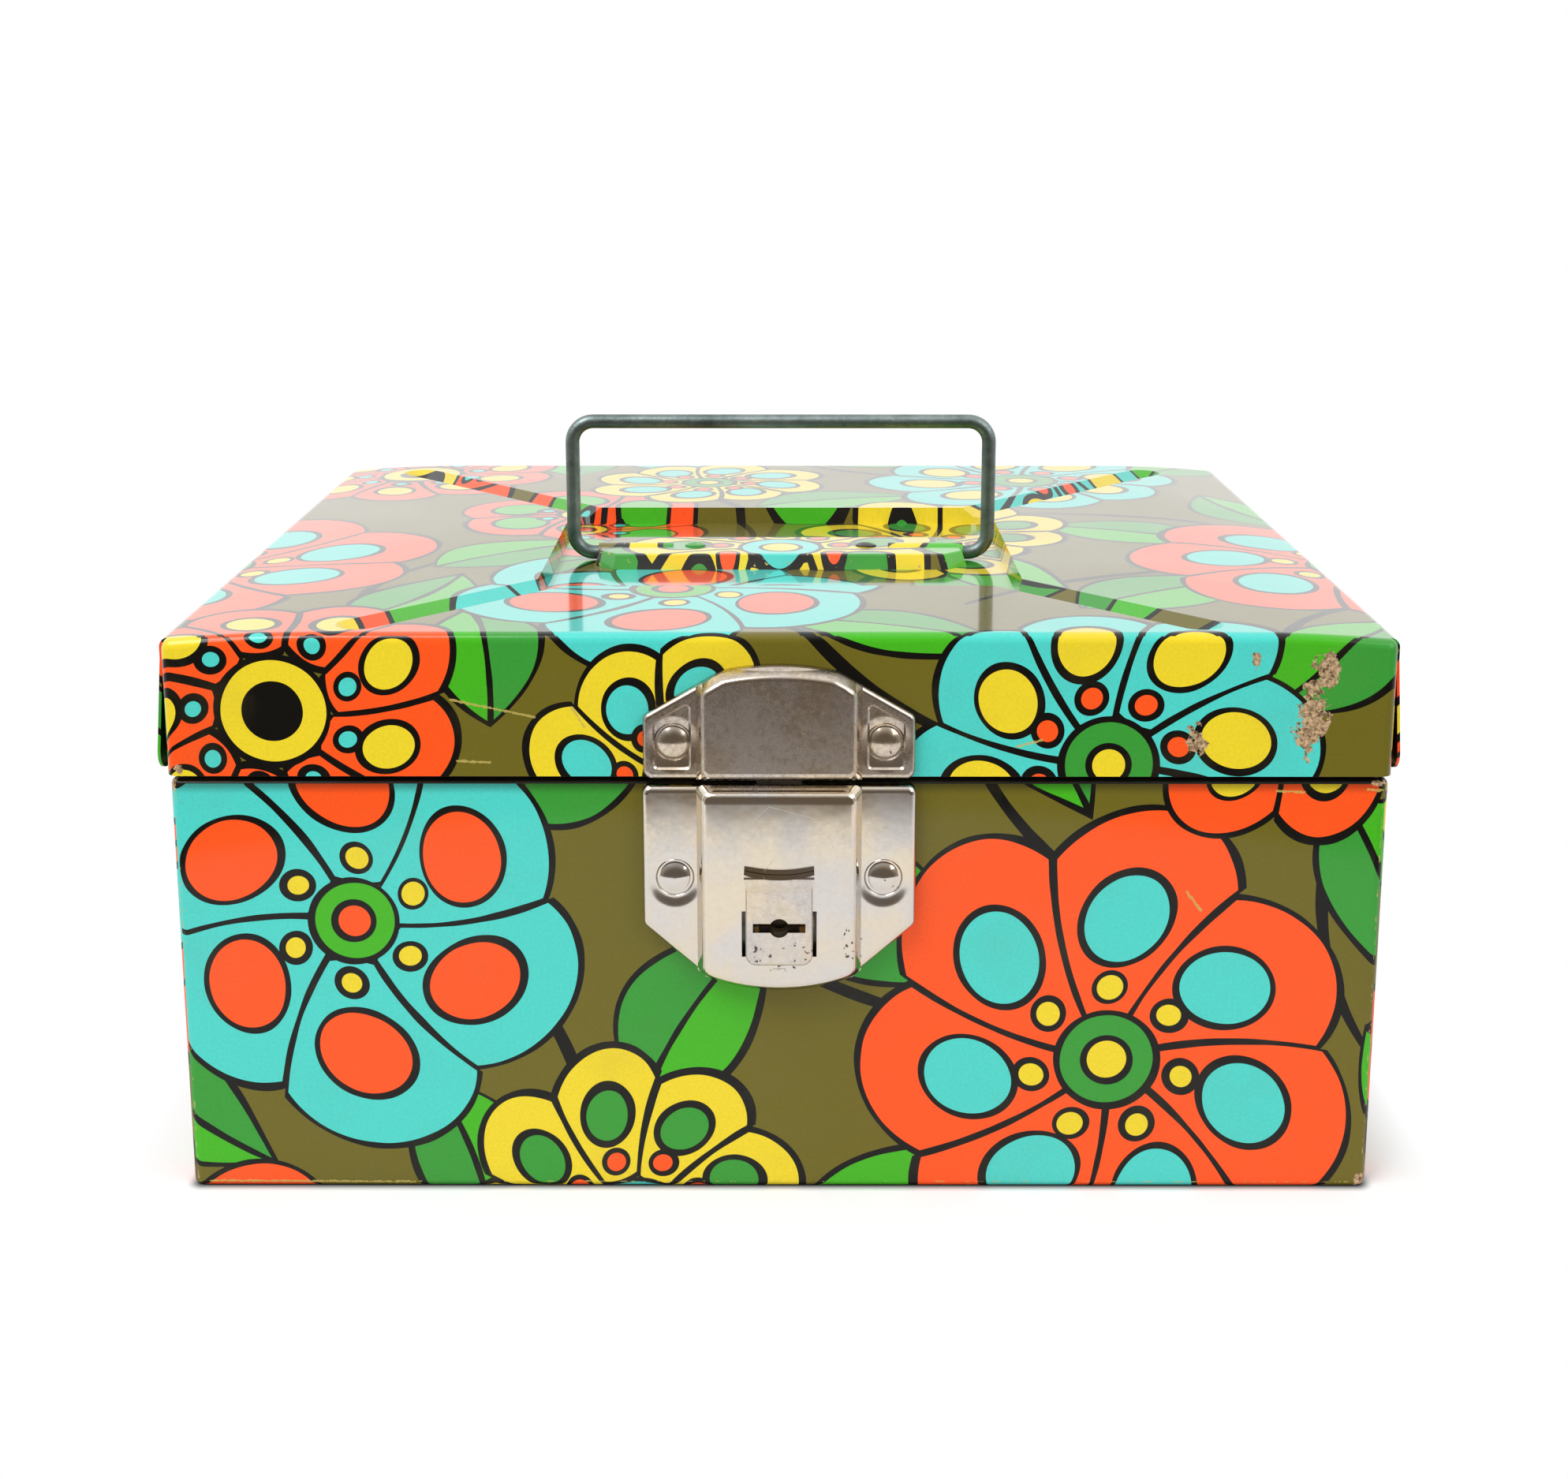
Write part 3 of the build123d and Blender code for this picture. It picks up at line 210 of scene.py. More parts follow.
# A ring of round seeds lies on the petals' feet, and the eye with its pupil in the middle.
seed_place = joined(bloom, calc(bloom, "SUBTRACT", outward, given["Dot Ring"]), across, 0)
seed_reach = vector_calc(bloom, "LENGTH", seed_place)
for from_middle, disc in ((seed_reach, "Dot"), (reach, "Eye"), (reach, "Pupil")):
    beyond = calc(bloom, "SUBTRACT", from_middle, given[disc])
    colour = over(bloom, calc(bloom, "LESS_THAN", beyond, ink), colour, paint(INK))
    inner = calc(bloom, "LESS_THAN", beyond, calc(bloom, "MULTIPLY", ink, -1))
    colour = over(bloom, inner, colour, given[f"{disc} Colour"])
feed(bloom, result["Colour"], colour)

# One leaf, bent along its rib and narrower towards its far end; a very narrow one is a stem.
LEAF_TAPER = 0.32            # how much narrower the far end is, as a share of the width
PAST_TIP = 1.06              # the outline stops here, in shares of half the length
LEAST_SWELL = -0.2           # past the tips the curves run on no further than this
LEAST_WIDTH = 0.3
leaf, given, result = new_group(
    "leaf",
    [("Sheet", "Vector", None), ("Centre", "Vector", None), ("Ink Half", "Float", INK_HALF),
     ("Turn", "Float", 0.0), ("Length", "Float", 50.0), ("Width", "Float", 24.0), ("Bend", "Float", 4.0),
     ("Left Colour", "Color", None), ("Right Colour", "Color", None), ("Under", "Color", None)],
    [("Colour", "Color")],
)
turned = leaf.nodes.new("ShaderNodeVectorRotate")
turned.rotation_type = "Z_AXIS"
leaf.links.new(from_centre(leaf, given["Sheet"], given["Centre"]), turned.inputs["Vector"])
leaf.links.new(given["Turn"], turned.inputs["Angle"])
along, aside, _ = split(leaf, turned.outputs[0])
share = calc(leaf, "DIVIDE", along, calc(leaf, "MULTIPLY", given["Length"], 0.5))
swell = calc(leaf, "SUBTRACT", 1, calc(leaf, "MULTIPLY", share, share))
swell = calc(leaf, "MAXIMUM", swell, LEAST_SWELL)
narrowing = calc(leaf, "SUBTRACT", 1, calc(leaf, "MULTIPLY", share, LEAF_TAPER))
shape = calc(leaf, "MULTIPLY", swell, calc(leaf, "MAXIMUM", narrowing, LEAST_WIDTH))
half_width = calc(leaf, "MULTIPLY", calc(leaf, "MULTIPLY", given["Width"], 0.5), shape)
off_rib = calc(leaf, "SUBTRACT", aside, calc(leaf, "MULTIPLY", swell, given["Bend"]))
from_rib = calc(leaf, "ABSOLUTE", off_rib)
beyond = calc(leaf, "SUBTRACT", from_rib, half_width)
painted = calc(leaf, "LESS_THAN", beyond, 0)
rib = both(leaf, calc(leaf, "LESS_THAN", from_rib, given["Ink Half"]), painted)
outline = calc(leaf, "LESS_THAN", calc(leaf, "ABSOLUTE", beyond), given["Ink Half"])
outline = both(leaf, outline, calc(leaf, "LESS_THAN", calc(leaf, "ABSOLUTE", share), PAST_TIP))
halves = over(leaf, calc(leaf, "GREATER_THAN", off_rib, 0), given["Left Colour"], given["Right Colour"])
colour = over(leaf, painted, given["Under"], halves)
colour = over(leaf, calc(leaf, "MAXIMUM", outline, rib), colour, paint(INK))
feed(leaf, result["Colour"], colour)

# Where the motifs lie on the repeat, in mm. Stems: centre, degrees of turn, length and bend.
STEM_WIDTH = 1.6
THIN_INK, THICK_INK = 0.65, 1.5  # the outlines vary in width between these shares, as if drawn by hand
STEMS = [
    ((178, 118), 28, 96, 10), ((98, 150), 66, 84, -12), ((196, 208), -20, 92, 10),
    ((318, 110), 84, 90, 14), ((112, 54), -38, 80, -9), ((226, 72), 58, 76, 8), ((60, 238), -62, 70, 9),
]
# Leaves: centre, degrees of turn, length, width, bend, and the colours of the two halves.
LEAVES = [
    ((192, 108), 34, 68, 36, 4, LEAF_GREEN, DEEP_GREEN),
    ((146, 138), -56, 62, 34, -4, DEEP_GREEN, LEAF_GREEN),
    ((194, 188), -30, 62, 33, 4, LEAF_GREEN, DEEP_GREEN),
    ((82, 182), 74, 56, 30, -4, LEAF_GREEN, DEEP_GREEN),
    ((10, 160), 40, 60, 32, 4, DEEP_GREEN, LEAF_GREEN),
    ((316, 104), 70, 58, 30, -4, LEAF_GREEN, DEEP_GREEN),
    ((112, 66), -24, 58, 30, 4, LEAF_GREEN, DEEP_GREEN),
    ((226, 62), 50, 56, 29, -4, DEEP_GREEN, LEAF_GREEN),
    ((104, 246), 20, 58, 31, 4, LEAF_GREEN, DEEP_GREEN),
    ((236, 236), 112, 56, 30, 4, LEAF_GREEN, DEEP_GREEN),
    ((8, 62), 100, 52, 28, -3, DEEP_GREEN, LEAF_GREEN),
]
# Flowers: centre, the sizes and the colours that BLOOM_SIZES and BLOOM_COLOURS name.
BLOOMS = [
    ((250, 150), (0.15, 0.30, 7, 68, 27, 0.56, 0.42, 20, 4.0, 13, 6),
     (ORANGE, TURQUOISE, YELLOW, DEEP_GREEN, YELLOW)),
    ((56, 112), (0.70, -0.35, 6, 60, 27, 0.58, 0.46, 17, 3.6, 11, 5),
     (TURQUOISE, ORANGE, YELLOW, LEAF_GREEN, ORANGE)),
    ((128, 196), (0.10, 0.25, 9, 48, 15.5, 0.62, 0.42, 18, 3.2, 12, 6),
     (YELLOW, DEEP_GREEN, ORANGE, TURQUOISE, YELLOW)),
    ((168, 26), (0.35, -0.25, 8, 54, 19, 0.60, 0.44, 18, 3.6, 12, 5),
     (TURQUOISE, YELLOW, ORANGE, DEEP_GREEN, YELLOW)),
    ((288, 40), (0.20, 0.30, 9, 50, 16, 0.64, 0.42, 20, 3.0, 14, 7),
     (ORANGE, YELLOW, TURQUOISE, YELLOW, INK)),
    ((22, 222), (0.50, 0.30, 6, 42, 19, 0.56, 0.50, 13, 2.8, 8, 3.6),
     (ORANGE, LEAF_GREEN, TURQUOISE, YELLOW, ORANGE)),
    ((60, 22), (0.00, -0.30, 8, 40, 14, 0.60, 0.46, 14, 2.8, 9, 4),
     (YELLOW, TURQUOISE, ORANGE, DEEP_GREEN, YELLOW)),
]
flower_print, given, result = new_group("flower print", [("Sheet", "Vector", None)], [("Colour", "Color")])
wobble = noise(flower_print, given["Sheet"], 0.035, 2.0)
ink_half = ramp(flower_print, wobble, 0.3, 0.7, INK_HALF * THIN_INK, INK_HALF * THICK_INK)
colour = paint(OLIVE)
stems = [(centre, turn, length, STEM_WIDTH, bend, INK, INK) for centre, turn, length, bend in STEMS]
for centre, turn, length, width, bend, left, right in stems + LEAVES:
    colour = use(flower_print, leaf, {
        "Sheet": given["Sheet"], "Centre": (*centre, 0), "Ink Half": ink_half, "Under": colour,
        "Turn": -math.radians(turn), "Length": length, "Width": width, "Bend": bend,
        "Left Colour": paint(left), "Right Colour": paint(right),
    })["Colour"]
for centre, sizes, tones in BLOOMS:
    values = {"Sheet": given["Sheet"], "Centre": (*centre, 0), "Ink Half": ink_half, "Under": colour}
    values.update(zip(BLOOM_SIZES, sizes))
    values.update(zip(BLOOM_COLOURS, map(paint, tones)))
    colour = use(flower_print, bloom, values)["Colour"]
feed(flower_print, result["Colour"], colour)


def place_in_mm(tree):
    """Where a point of the part lies, in mm."""
    coordinates = tree.nodes.new("ShaderNodeTexCoord")
    return vector_calc(tree, "MULTIPLY", coordinates.outputs["Object"], [1 / MM] * 3)


# A folded pan laid out flat again: where a point lies on its sheet, how far it is from the nearest
# fold, and whether it is on the inner side. Level is the height of its flat plate, and Up is 1 for a
# plate on top and -1 for one below.
INWARD = -0.2                # a face whose outward share is below this looks into the pan
unfolded, given, result = new_group(
    "unfolded pan",
    [("Half Width", "Float", 155.0), ("Half Depth", "Float", 130.0),
     ("Level", "Float", 0.0), ("Up", "Float", 1.0)],
    [("Sheet", "Vector"), ("Place", "Vector"), ("Fold", "Float"), ("Inner Side", "Float")],
)
place = place_in_mm(unfolded)
x, y, z = split(unfolded, place)
side_x, side_y = calc(unfolded, "SIGN", x), calc(unfolded, "SIGN", y)
from_side = calc(unfolded, "SUBTRACT", given["Half Width"], calc(unfolded, "ABSOLUTE", x))
from_front = calc(unfolded, "SUBTRACT", given["Half Depth"], calc(unfolded, "ABSOLUTE", y))
from_level = calc(unfolded, "ABSOLUTE", calc(unfolded, "SUBTRACT", given["Level"], z))
nearest_wall = calc(unfolded, "MINIMUM", from_side, from_front)
on_wall = calc(unfolded, "LESS_THAN", nearest_wall, from_level)
side_nearer = calc(unfolded, "LESS_THAN", from_side, from_front)
on_side = both(unfolded, on_wall, side_nearer)
on_front = calc(unfolded, "SUBTRACT", on_wall, on_side)
sheet_x = calc(unfolded, "ADD", x, both(unfolded, on_side, both(unfolded, side_x, from_level)))
sheet_y = calc(unfolded, "ADD", y, both(unfolded, on_front, both(unfolded, side_y, from_level)))
feed(unfolded, result["Sheet"], joined(unfolded, sheet_x, sheet_y, 0))
feed(unfolded, result["Place"], place)
farther_wall = calc(unfolded, "MAXIMUM", from_side, from_front)
fold = calc(unfolded, "MAXIMUM", nearest_wall, calc(unfolded, "MINIMUM", farther_wall, from_level))
feed(unfolded, result["Fold"], fold)
coordinates = unfolded.nodes.new("ShaderNodeTexCoord")
face_x, face_y, face_z = split(unfolded, coordinates.outputs["Normal"])
on_plate = calc(unfolded, "SUBTRACT", 1, on_wall)
outward = calc(
    unfolded, "ADD", both(unfolded, on_side, both(unfolded, side_x, face_x)),
    calc(unfolded, "ADD", both(unfolded, on_front, both(unfolded, side_y, face_y)),
         both(unfolded, on_plate, both(unfolded, given["Up"], face_z))))
feed(unfolded, result["Inner Side"], calc(unfolded, "LESS_THAN", outward, INWARD))


def new_material(name):
    """Empty material with its Principled shader."""
    material = bpy.data.materials.new(name)
    material.use_nodes = True
    return material, material.node_tree, material.node_tree.nodes["Principled BSDF"]


def dress(node_name, material):
    """Gives a CAD node its finish."""
    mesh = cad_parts[node_name].data
    mesh.materials.clear()
    mesh.materials.append(material)


def bumped(tree, shader, height, distance):
    """Relief on a shader: a height of 1 stands out by distance, in metres."""
    bump = tree.nodes.new("ShaderNodeBump")
    bump.inputs["Distance"].default_value = distance
    feed(tree, bump.inputs["Height"], height)
    tree.links.new(bump.outputs[0], shader.inputs["Normal"])


FAR = 1000.0                 # more than the way to any spot or scratch


def nearest_spot(tree, place, spots):
    """How far a place is from the nearest of the spots (centre, size), in shares of the spot's size."""
    nearest = FAR
    for centre, size in spots:
        away = vector_calc(tree, "DIVIDE", vector_calc(tree, "SUBTRACT", place, centre), size)
        nearest = calc(tree, "MINIMUM", nearest, vector_calc(tree, "LENGTH", away))
    return nearest


def nearest_scratch(tree, place, scratches):
    """How far in mm a place is from the nearest of the scratches (start, end)."""
    nearest = FAR
    for start, end in scratches:
        run = [b - a for a, b in zip(start, end)]
        away = vector_calc(tree, "SUBTRACT", place, start)
        part = vector_calc(tree, "DOT_PRODUCT", away, [r / sum(q * q for q in run) for r in run])
        part = calc(tree, "MINIMUM", calc(tree, "MAXIMUM", part, 0), 1)
        foot = vector_calc(tree, "MULTIPLY", joined(tree, part, part, part), run)
        way = vector_calc(tree, "LENGTH", vector_calc(tree, "SUBTRACT", away, foot))
        nearest = calc(tree, "MINIMUM", nearest, way)
    return nearest


LACQUER_AND_SHADOW = "#1D1A14"
PRIMER = "#B9A658"
BARE_TIN = "#D8B890"
RUST = "#5E4530"
GRIME = "#6E6648"
SHADE_BAND = 3.0             # the band of painted shadow under the lid's edge, mm
SHADE_SHARE = 0.55
PRIMER_SHARE = 0.75          # the primer covers the colours below it no further
CHIP_RAGGED = 5.2            # how far noise moves a chip's outline, in shares of its size
BARE_METALLIC = 0.3          # tin that has rusted shows little of its shine
COAT_ON_PLATE = 1.0          # the varnish lies thick on the flat plate
COAT_ON_WALLS = 0.28         # and thin on the walls
COAT_ON_TIN = 0.1


def printed_tin(name, half_width, half_depth, level, up, shift, chips, scratches, crease_at, shadow_from):
    """Printed and varnished tinplate of one folded pan, in mm.

    It lies on the print's repeat at shift, and has bare chips (centre, size), scratches (start, end), a
    rubbed line at crease_at from its folds, and is dark above the height shadow_from, where the neck is
    lacquered and painted shadow from the lid's edge covers the shoulder; below that height the painted
    shadow fades out over SHADE_BAND.
    """
    material, tree, shader = new_material(name)
    pan = use(tree, unfolded, {"Half Width": half_width, "Half Depth": half_depth, "Level": level, "Up": up})
    place, fold = pan["Place"], pan["Fold"]
    sheet = vector_calc(tree, "ADD", pan["Sheet"], (*shift, 0))
    colour = use(tree, flower_print, {"Sheet": sheet})["Colour"]
    mottle = ramp(tree, noise(tree, sheet, 1.2, 4.0, 0.7), 0.35, 0.65, to_high=0.1)
    colour = over(tree, mottle, colour, paint(INK))
    height = split(tree, place)[2]
    # Painted shadow under the lid's edge: up to SHADE_SHARE of the lacquer's dark over SHADE_BAND, and full
    # dark above, where the neck is lacquered and the shoulder is painted in shadow.
    shade = both(tree, ramp(tree, height, shadow_from - SHADE_BAND, shadow_from, smooth=True), SHADE_SHARE)
    shade = calc(tree, "MAXIMUM", shade, calc(tree, "GREATER_THAN", height, shadow_from))
    colour = over(tree, shade, colour, paint(LACQUER_AND_SHADOW))
    grime = ramp(tree, noise(tree, place, 0.05, 5.0, 0.6), 0.5, 0.8, to_high=0.12)
    colour = over(tree, grime, colour, paint(GRIME))
    # Rubbed folds: the varnish wears to a yellow primer and, at the sharpest places, to tin.
    ragged = noise(tree, place, 0.45, 4.0, 0.65)
    rub = calc(tree, "LESS_THAN", fold, ramp(tree, ragged, 0.45, 0.75, -0.4, 1.1))
    crease = calc(tree, "ABSOLUTE", calc(tree, "SUBTRACT", fold, crease_at))
    crease = calc(tree, "LESS_THAN", crease, ramp(tree, ragged, 0.5, 0.7, -0.05, 0.3))
    scratch_half = ramp(tree, noise(tree, place, 0.9, 3.0), 0.3, 0.7, 0.05, 0.55)
    scratched = calc(tree, "LESS_THAN", nearest_scratch(tree, place, scratches), scratch_half)
    worn = calc(tree, "MAXIMUM", calc(tree, "MAXIMUM", rub, crease), scratched)
    colour = over(tree, both(tree, worn, PRIMER_SHARE), colour, paint(PRIMER))
    bare = calc(tree, "LESS_THAN", fold, ramp(tree, ragged, 0.6, 0.8, -0.4, 1.4))
    # Chips: a spot's rounded outline, made jagged by noise, down to rusting tin.
    jagged = calc(tree, "SUBTRACT", noise(tree, place, 0.22, 5.0, 0.7), 0.5)
    jagged = calc(tree, "MULTIPLY", jagged, CHIP_RAGGED)
    chipped = calc(tree, "LESS_THAN", calc(tree, "ADD", nearest_spot(tree, place, chips), jagged), 0.9)
    bare = both(tree, calc(tree, "MAXIMUM", bare, chipped), calc(tree, "SUBTRACT", 1, pan["Inner Side"]))
    colour = over(tree, pan["Inner Side"], colour, paint(LACQUER_AND_SHADOW))
    rusted = ramp(tree, noise(tree, place, 0.7, 5.0, 0.75), 0.42, 0.6)
    colour = over(tree, bare, colour, over(tree, rusted, paint(BARE_TIN), paint(RUST)))
    feed(tree, shader.inputs["Base Color"], colour)
    feed(tree, shader.inputs["Metallic"], both(tree, bare, BARE_METALLIC))
    smear = noise(tree, place, 0.02, 4.0, 0.6)
    feed(tree, shader.inputs["Roughness"], ramp(tree, smear, 0.3, 0.7, 0.34, 0.5))
    shader.inputs["Specular IOR Level"].default_value = 0.06
    inside = vector_calc(tree, "SUBTRACT", vector_calc(tree, "ABSOLUTE", place), (half_width, half_depth, 0))
    across, along, _ = split(tree, inside)
    varnish = ramp(tree, calc(tree, "MAXIMUM", across, along), -2.0, -0.3, COAT_ON_PLATE, COAT_ON_WALLS)
    coat = both(tree, varnish, ramp(tree, bare, 0, 1, 1.0, COAT_ON_TIN))
    feed(tree, shader.inputs["Coat Weight"], coat)
    shader.inputs["Coat Roughness"].default_value = 0.08
    shader.inputs["Coat IOR"].default_value = 1.65
    waves = noise(tree, place, 0.012, 1.0)
    bumped(tree, shader, calc(tree, "ADD", waves, both(tree, bare, -0.05)), 0.0012)
    return material


def in_mm(box):
    """The two corners of a box in mm."""
    return [[c / MM for c in corner] for corner in box]


TRAY_SHIFT = (165.0, 315.0)  # where the tray's sheet lies on the repeat, mm
FLOOR_CREASE = 1.5           # the rubbed line along the lower folds, mm from them
NECK_AND_SHADOW_FROM = 110.7             # the tray is dark from here up: its lacquered neck, and painted shadow from the lid's edge on the shoulder, mm
low, high = in_mm(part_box("body_tray"))
front = low[1]
tray_chips = [
    ((high[0] - 3, front, 110.9), (4, 3, 1.0)), ((low[0] + 1, front, 110.5), (2, 3, 2)),
    ((high[0] - 1, front, 2), (2.5, 3, 2.5)),
]
tray_scratches = [
    ((-150, front, 1.6), (-96, front, 1.3)), ((104, front, 82), (108, front, 77)),
    ((126, front, 108.9), (133, front, 108.6)), ((149, front, 109.3), (high[0], front, 109.0)),
]
dress("body_tray", printed_tin(
    "printed_tray", half_width=high[0], half_depth=-front, level=0.0, up=-1.0, shift=TRAY_SHIFT,
    chips=tray_chips, scratches=tray_scratches, crease_at=FLOOR_CREASE, shadow_from=NECK_AND_SHADOW_FROM))

# ---- Lid --------------------------------------------------------------------------------------
# A shallow pan of the same printed sheet, with a field sunk in its top for the folded handle and
# four channels pressed from the field towards the corners to stiffen it.
LID_SHIFT = (85.0, 190.0)
SKIRT_SPLAY = 1.7            # the right side skirt's lower edge stands out about this far, mm
NO_CREASE = -9.0             # no place is at this distance from a fold
NO_SHADOW = 999.0            # above the whole part, so there is no painted shadow and the print runs to the edge
low, high = in_mm(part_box("lid_pan"))
front = low[1]
lid_half_width = min(-low[0], high[0]) - SKIRT_SPLAY
lid_chips = [
    ((134, front, 128), (3.4, 3, 9)), ((137, front, 140), (3, 3, 4)), ((105, front, 123), (2.6, 3, 4.5)),
    ((119, front, 144), (1.2, 3, 2)), ((-152, front, 115), (2, 3, 1.6)),
]
lid_scratches = [
    ((-82.5, front, 133), (-61.5, front, 128.5)), ((-81, front, 117), (-73, front, 116.6)),
    ((-52, front, 131), (-49, front, 126)), ((60, front, 121), (66, front, 122.5)),
]
dress("lid_pan", printed_tin(
    "printed_lid", half_width=lid_half_width, half_depth=-front, level=high[2], up=1.0, shift=LID_SHIFT,
    chips=lid_chips, scratches=lid_scratches, crease_at=NO_CREASE, shadow_from=NO_SHADOW))

# ---- Handle -----------------------------------------------------------------------------------
# The bracket is pressed from the same printed sheet and riveted in the sunk field. Its rivets carry
# the print too, and their ends inside the lid are lacquered. The bail is one bent length of
# galvanized wire, now dull.
BRACKET_SHIFT = (128.0, 214.0)
LID_INSIDE = 0.3             # the rivets' lacquered ends start this far below the bracket's feet, mm
bracket_foot = in_mm(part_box("handle_bracket"))[0][2]
material, tree, shader = new_material("printed_bracket")
place = place_in_mm(tree)
sheet = vector_calc(tree, "ADD", vector_calc(tree, "MULTIPLY", place, (1, 1, 0)), (*BRACKET_SHIFT, 0))
colour = use(tree, flower_print, {"Sheet": sheet})["Colour"]
rubbed = calc(tree, "GREATER_THAN", noise(tree, place, 0.5, 4.0, 0.65), 0.66)
colour = over(tree, rubbed, colour, paint(PRIMER))
under = calc(tree, "LESS_THAN", split(tree, place)[2], bracket_foot - LID_INSIDE)
feed(tree, shader.inputs["Base Color"], over(tree, under, colour, paint(LACQUER_AND_SHADOW)))
feed(tree, shader.inputs["Roughness"], ramp(tree, noise(tree, place, 0.1, 3.0), 0.3, 0.7, 0.34, 0.5))
shader.inputs["Coat Weight"].default_value = 0.9
shader.inputs["Coat Roughness"].default_value = 0.09
dress("handle_bracket", material)
dress("handle_rivets", material)


STEEL_STAIN = "#3B342B"


def worn_steel(name, light, dark, rough, grain, stain_share, relief):
    """Bare or plated steel: two tones, roughness (low, high), and grain per mm along x, y and z.

    A share of dark stains lies in its pits. Relief is the depth of grain and pits in metres.
    """
    material, tree, shader = new_material(name)
    place = place_in_mm(tree)
    cloud = noise(tree, place, 0.09, 5.0, 0.65)
    brushed = noise(tree, vector_calc(tree, "MULTIPLY", place, grain), 1.0, 3.0, 0.6)
    speck = noise(tree, place, 1.3, 3.0, 0.6)
    pit_limit = ramp(tree, cloud, 0.3, 0.7, 0.74 + 0.1 * (1 - stain_share), 0.62)
    pit = calc(tree, "GREATER_THAN", speck, pit_limit)
    colour = over(tree, ramp(tree, cloud, 0.35, 0.68), paint(light), paint(dark))
    colour = over(tree, both(tree, pit, stain_share), colour, paint(STEEL_STAIN))
    feed(tree, shader.inputs["Base Color"], colour)
    shader.inputs["Metallic"].default_value = 1.0
    mixed = calc(tree, "ADD", both(tree, brushed, 0.6), both(tree, cloud, 0.4))
    feed(tree, shader.inputs["Roughness"], ramp(tree, mixed, 0.3, 0.7, *rough))
    bumped(tree, shader, calc(tree, "SUBTRACT", both(tree, brushed, 0.5), pit), relief)
    return material


dress("bail", worn_steel(
    "dull_zinc", light="#84908E", dark="#566260", rough=(0.34, 0.56), grain=(0.5, 0.5, 0.5),
    stain_share=0.8, relief=0.0002))

# ---- Catch on the lid -------------------------------------------------------------------------
# A nickel-plated pressing hides the hasp, and two domed rivets hold both to the lid's skirt.
NICKEL = "#D3CFCB"
WARM_NICKEL = "#DBCFBB"
TARNISH = "#846651"
PIT = "#2E2822"
BRIGHT_LINE = "#F2EDE4"
ROLL_DEPTH = 0.14            # how deep the sheet rolls back at a panel's border, in shares of the roll
DISH_DEPTH = 0.26            # how deep it sinks round a rivet, mm
DISH_RIM = (4.2, 7.6)        # from the flat bottom to the upper edge, mm from the rivet's middle


def nickel(name, tarnish, pits, hairlines, panel, roll, dishes):
    """Polished nickel plate, in mm, with a share of brown tarnish.

    Pits lie in spots (centre, size), and hairlines run from start to end at any depth. The sheet rolls
    back over the last millimetres of its panel (centre, half size), and it sinks round the dishes, which
    are the middles of its rivets.
    """
    material, tree, shader = new_material(name)
    place = place_in_mm(tree)
    cloud = noise(tree, place, 0.07, 3.0, 0.55)
    speckle = noise(tree, place, 0.8, 5.0, 0.8)
    colour = over(tree, ramp(tree, cloud, 0.38, 0.62), paint(WARM_NICKEL), paint(NICKEL))
    dull = calc(tree, "ADD", speckle, both(tree, cloud, 0.25))
    dull = ramp(tree, dull, 0.45, 0.8, 0.15 * tarnish, tarnish)
    colour = over(tree, dull, colour, paint(TARNISH))
    speck = calc(tree, "GREATER_THAN", noise(tree, place, 0.8, 1.0), 0.69)
    pitted = both(tree, calc(tree, "LESS_THAN", nearest_spot(tree, place, pits), 1), speck)
    facing = vector_calc(tree, "MULTIPLY", place, (1, 0, 1))
    hair_half = ramp(tree, speckle, 0.4, 0.6, 0.02, 0.1)
    hair = calc(tree, "LESS_THAN", nearest_scratch(tree, facing, hairlines), hair_half)
    colour = over(tree, both(tree, pitted, 0.85), colour, paint(PIT))
    feed(tree, shader.inputs["Base Color"], over(tree, both(tree, hair, 0.6), colour, paint(BRIGHT_LINE)))
    shader.inputs["Metallic"].default_value = 1.0
    rough = calc(tree, "ADD", ramp(tree, cloud, 0.3, 0.7, 0.07, 0.11), both(tree, dull, 0.42))
    feed(tree, shader.inputs["Roughness"], calc(tree, "MAXIMUM", rough, both(tree, hair, 0.35)))
    # The relief's heights are in mm.
    centre, half = panel
    away = vector_calc(tree, "ABSOLUTE", vector_calc(tree, "SUBTRACT", place, centre))
    away = vector_calc(tree, "SUBTRACT", away, [h - roll for h in half])
    away = vector_calc(tree, "LENGTH", vector_calc(tree, "MAXIMUM", away, (0, 0, 0)))
    rolled = ramp(tree, away, 0, roll)
    rolled = calc(tree, "MULTIPLY", calc(tree, "MULTIPLY", rolled, rolled), -ROLL_DEPTH * roll)
    from_dish = nearest_spot(tree, place, [(dish, (1, 9, 1)) for dish in dishes])
    sunk = both(tree, ramp(tree, from_dish, *DISH_RIM, 1, 0, smooth=True), -DISH_DEPTH)
    waves = both(tree, calc(tree, "SUBTRACT", noise(tree, place, 0.12, 2.0), both(tree, pitted, 0.5)), 0.02)
    bumped(tree, shader, calc(tree, "ADD", calc(tree, "ADD", rolled, sunk), waves), MM)
    return material


catch_front = in_mm(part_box("catch_cover"))[0][1]
cover_nickel = nickel(
    "nickel_cover", tarnish=0.6, pits=[((30, catch_front, 120), (3, 9, 4))], hairlines=[],
    panel=((0, catch_front, 127), (19.1, 40, 14.4)), roll=2.5,
    dishes=[(-26.6, catch_front, 122.1), (26.6, catch_front, 122.1)],
)
plain_steel = worn_steel(
    "plain_steel", light="#A7A49D", dark="#7E7A73", rough=(0.3, 0.5), grain=(0.4, 0.4, 2.0),
    stain_share=0.6, relief=0.00008)
for node_name in ("catch_cover", "catch_rivets"):
    dress(node_name, cover_nickel)
dress("hasp", plain_steel)

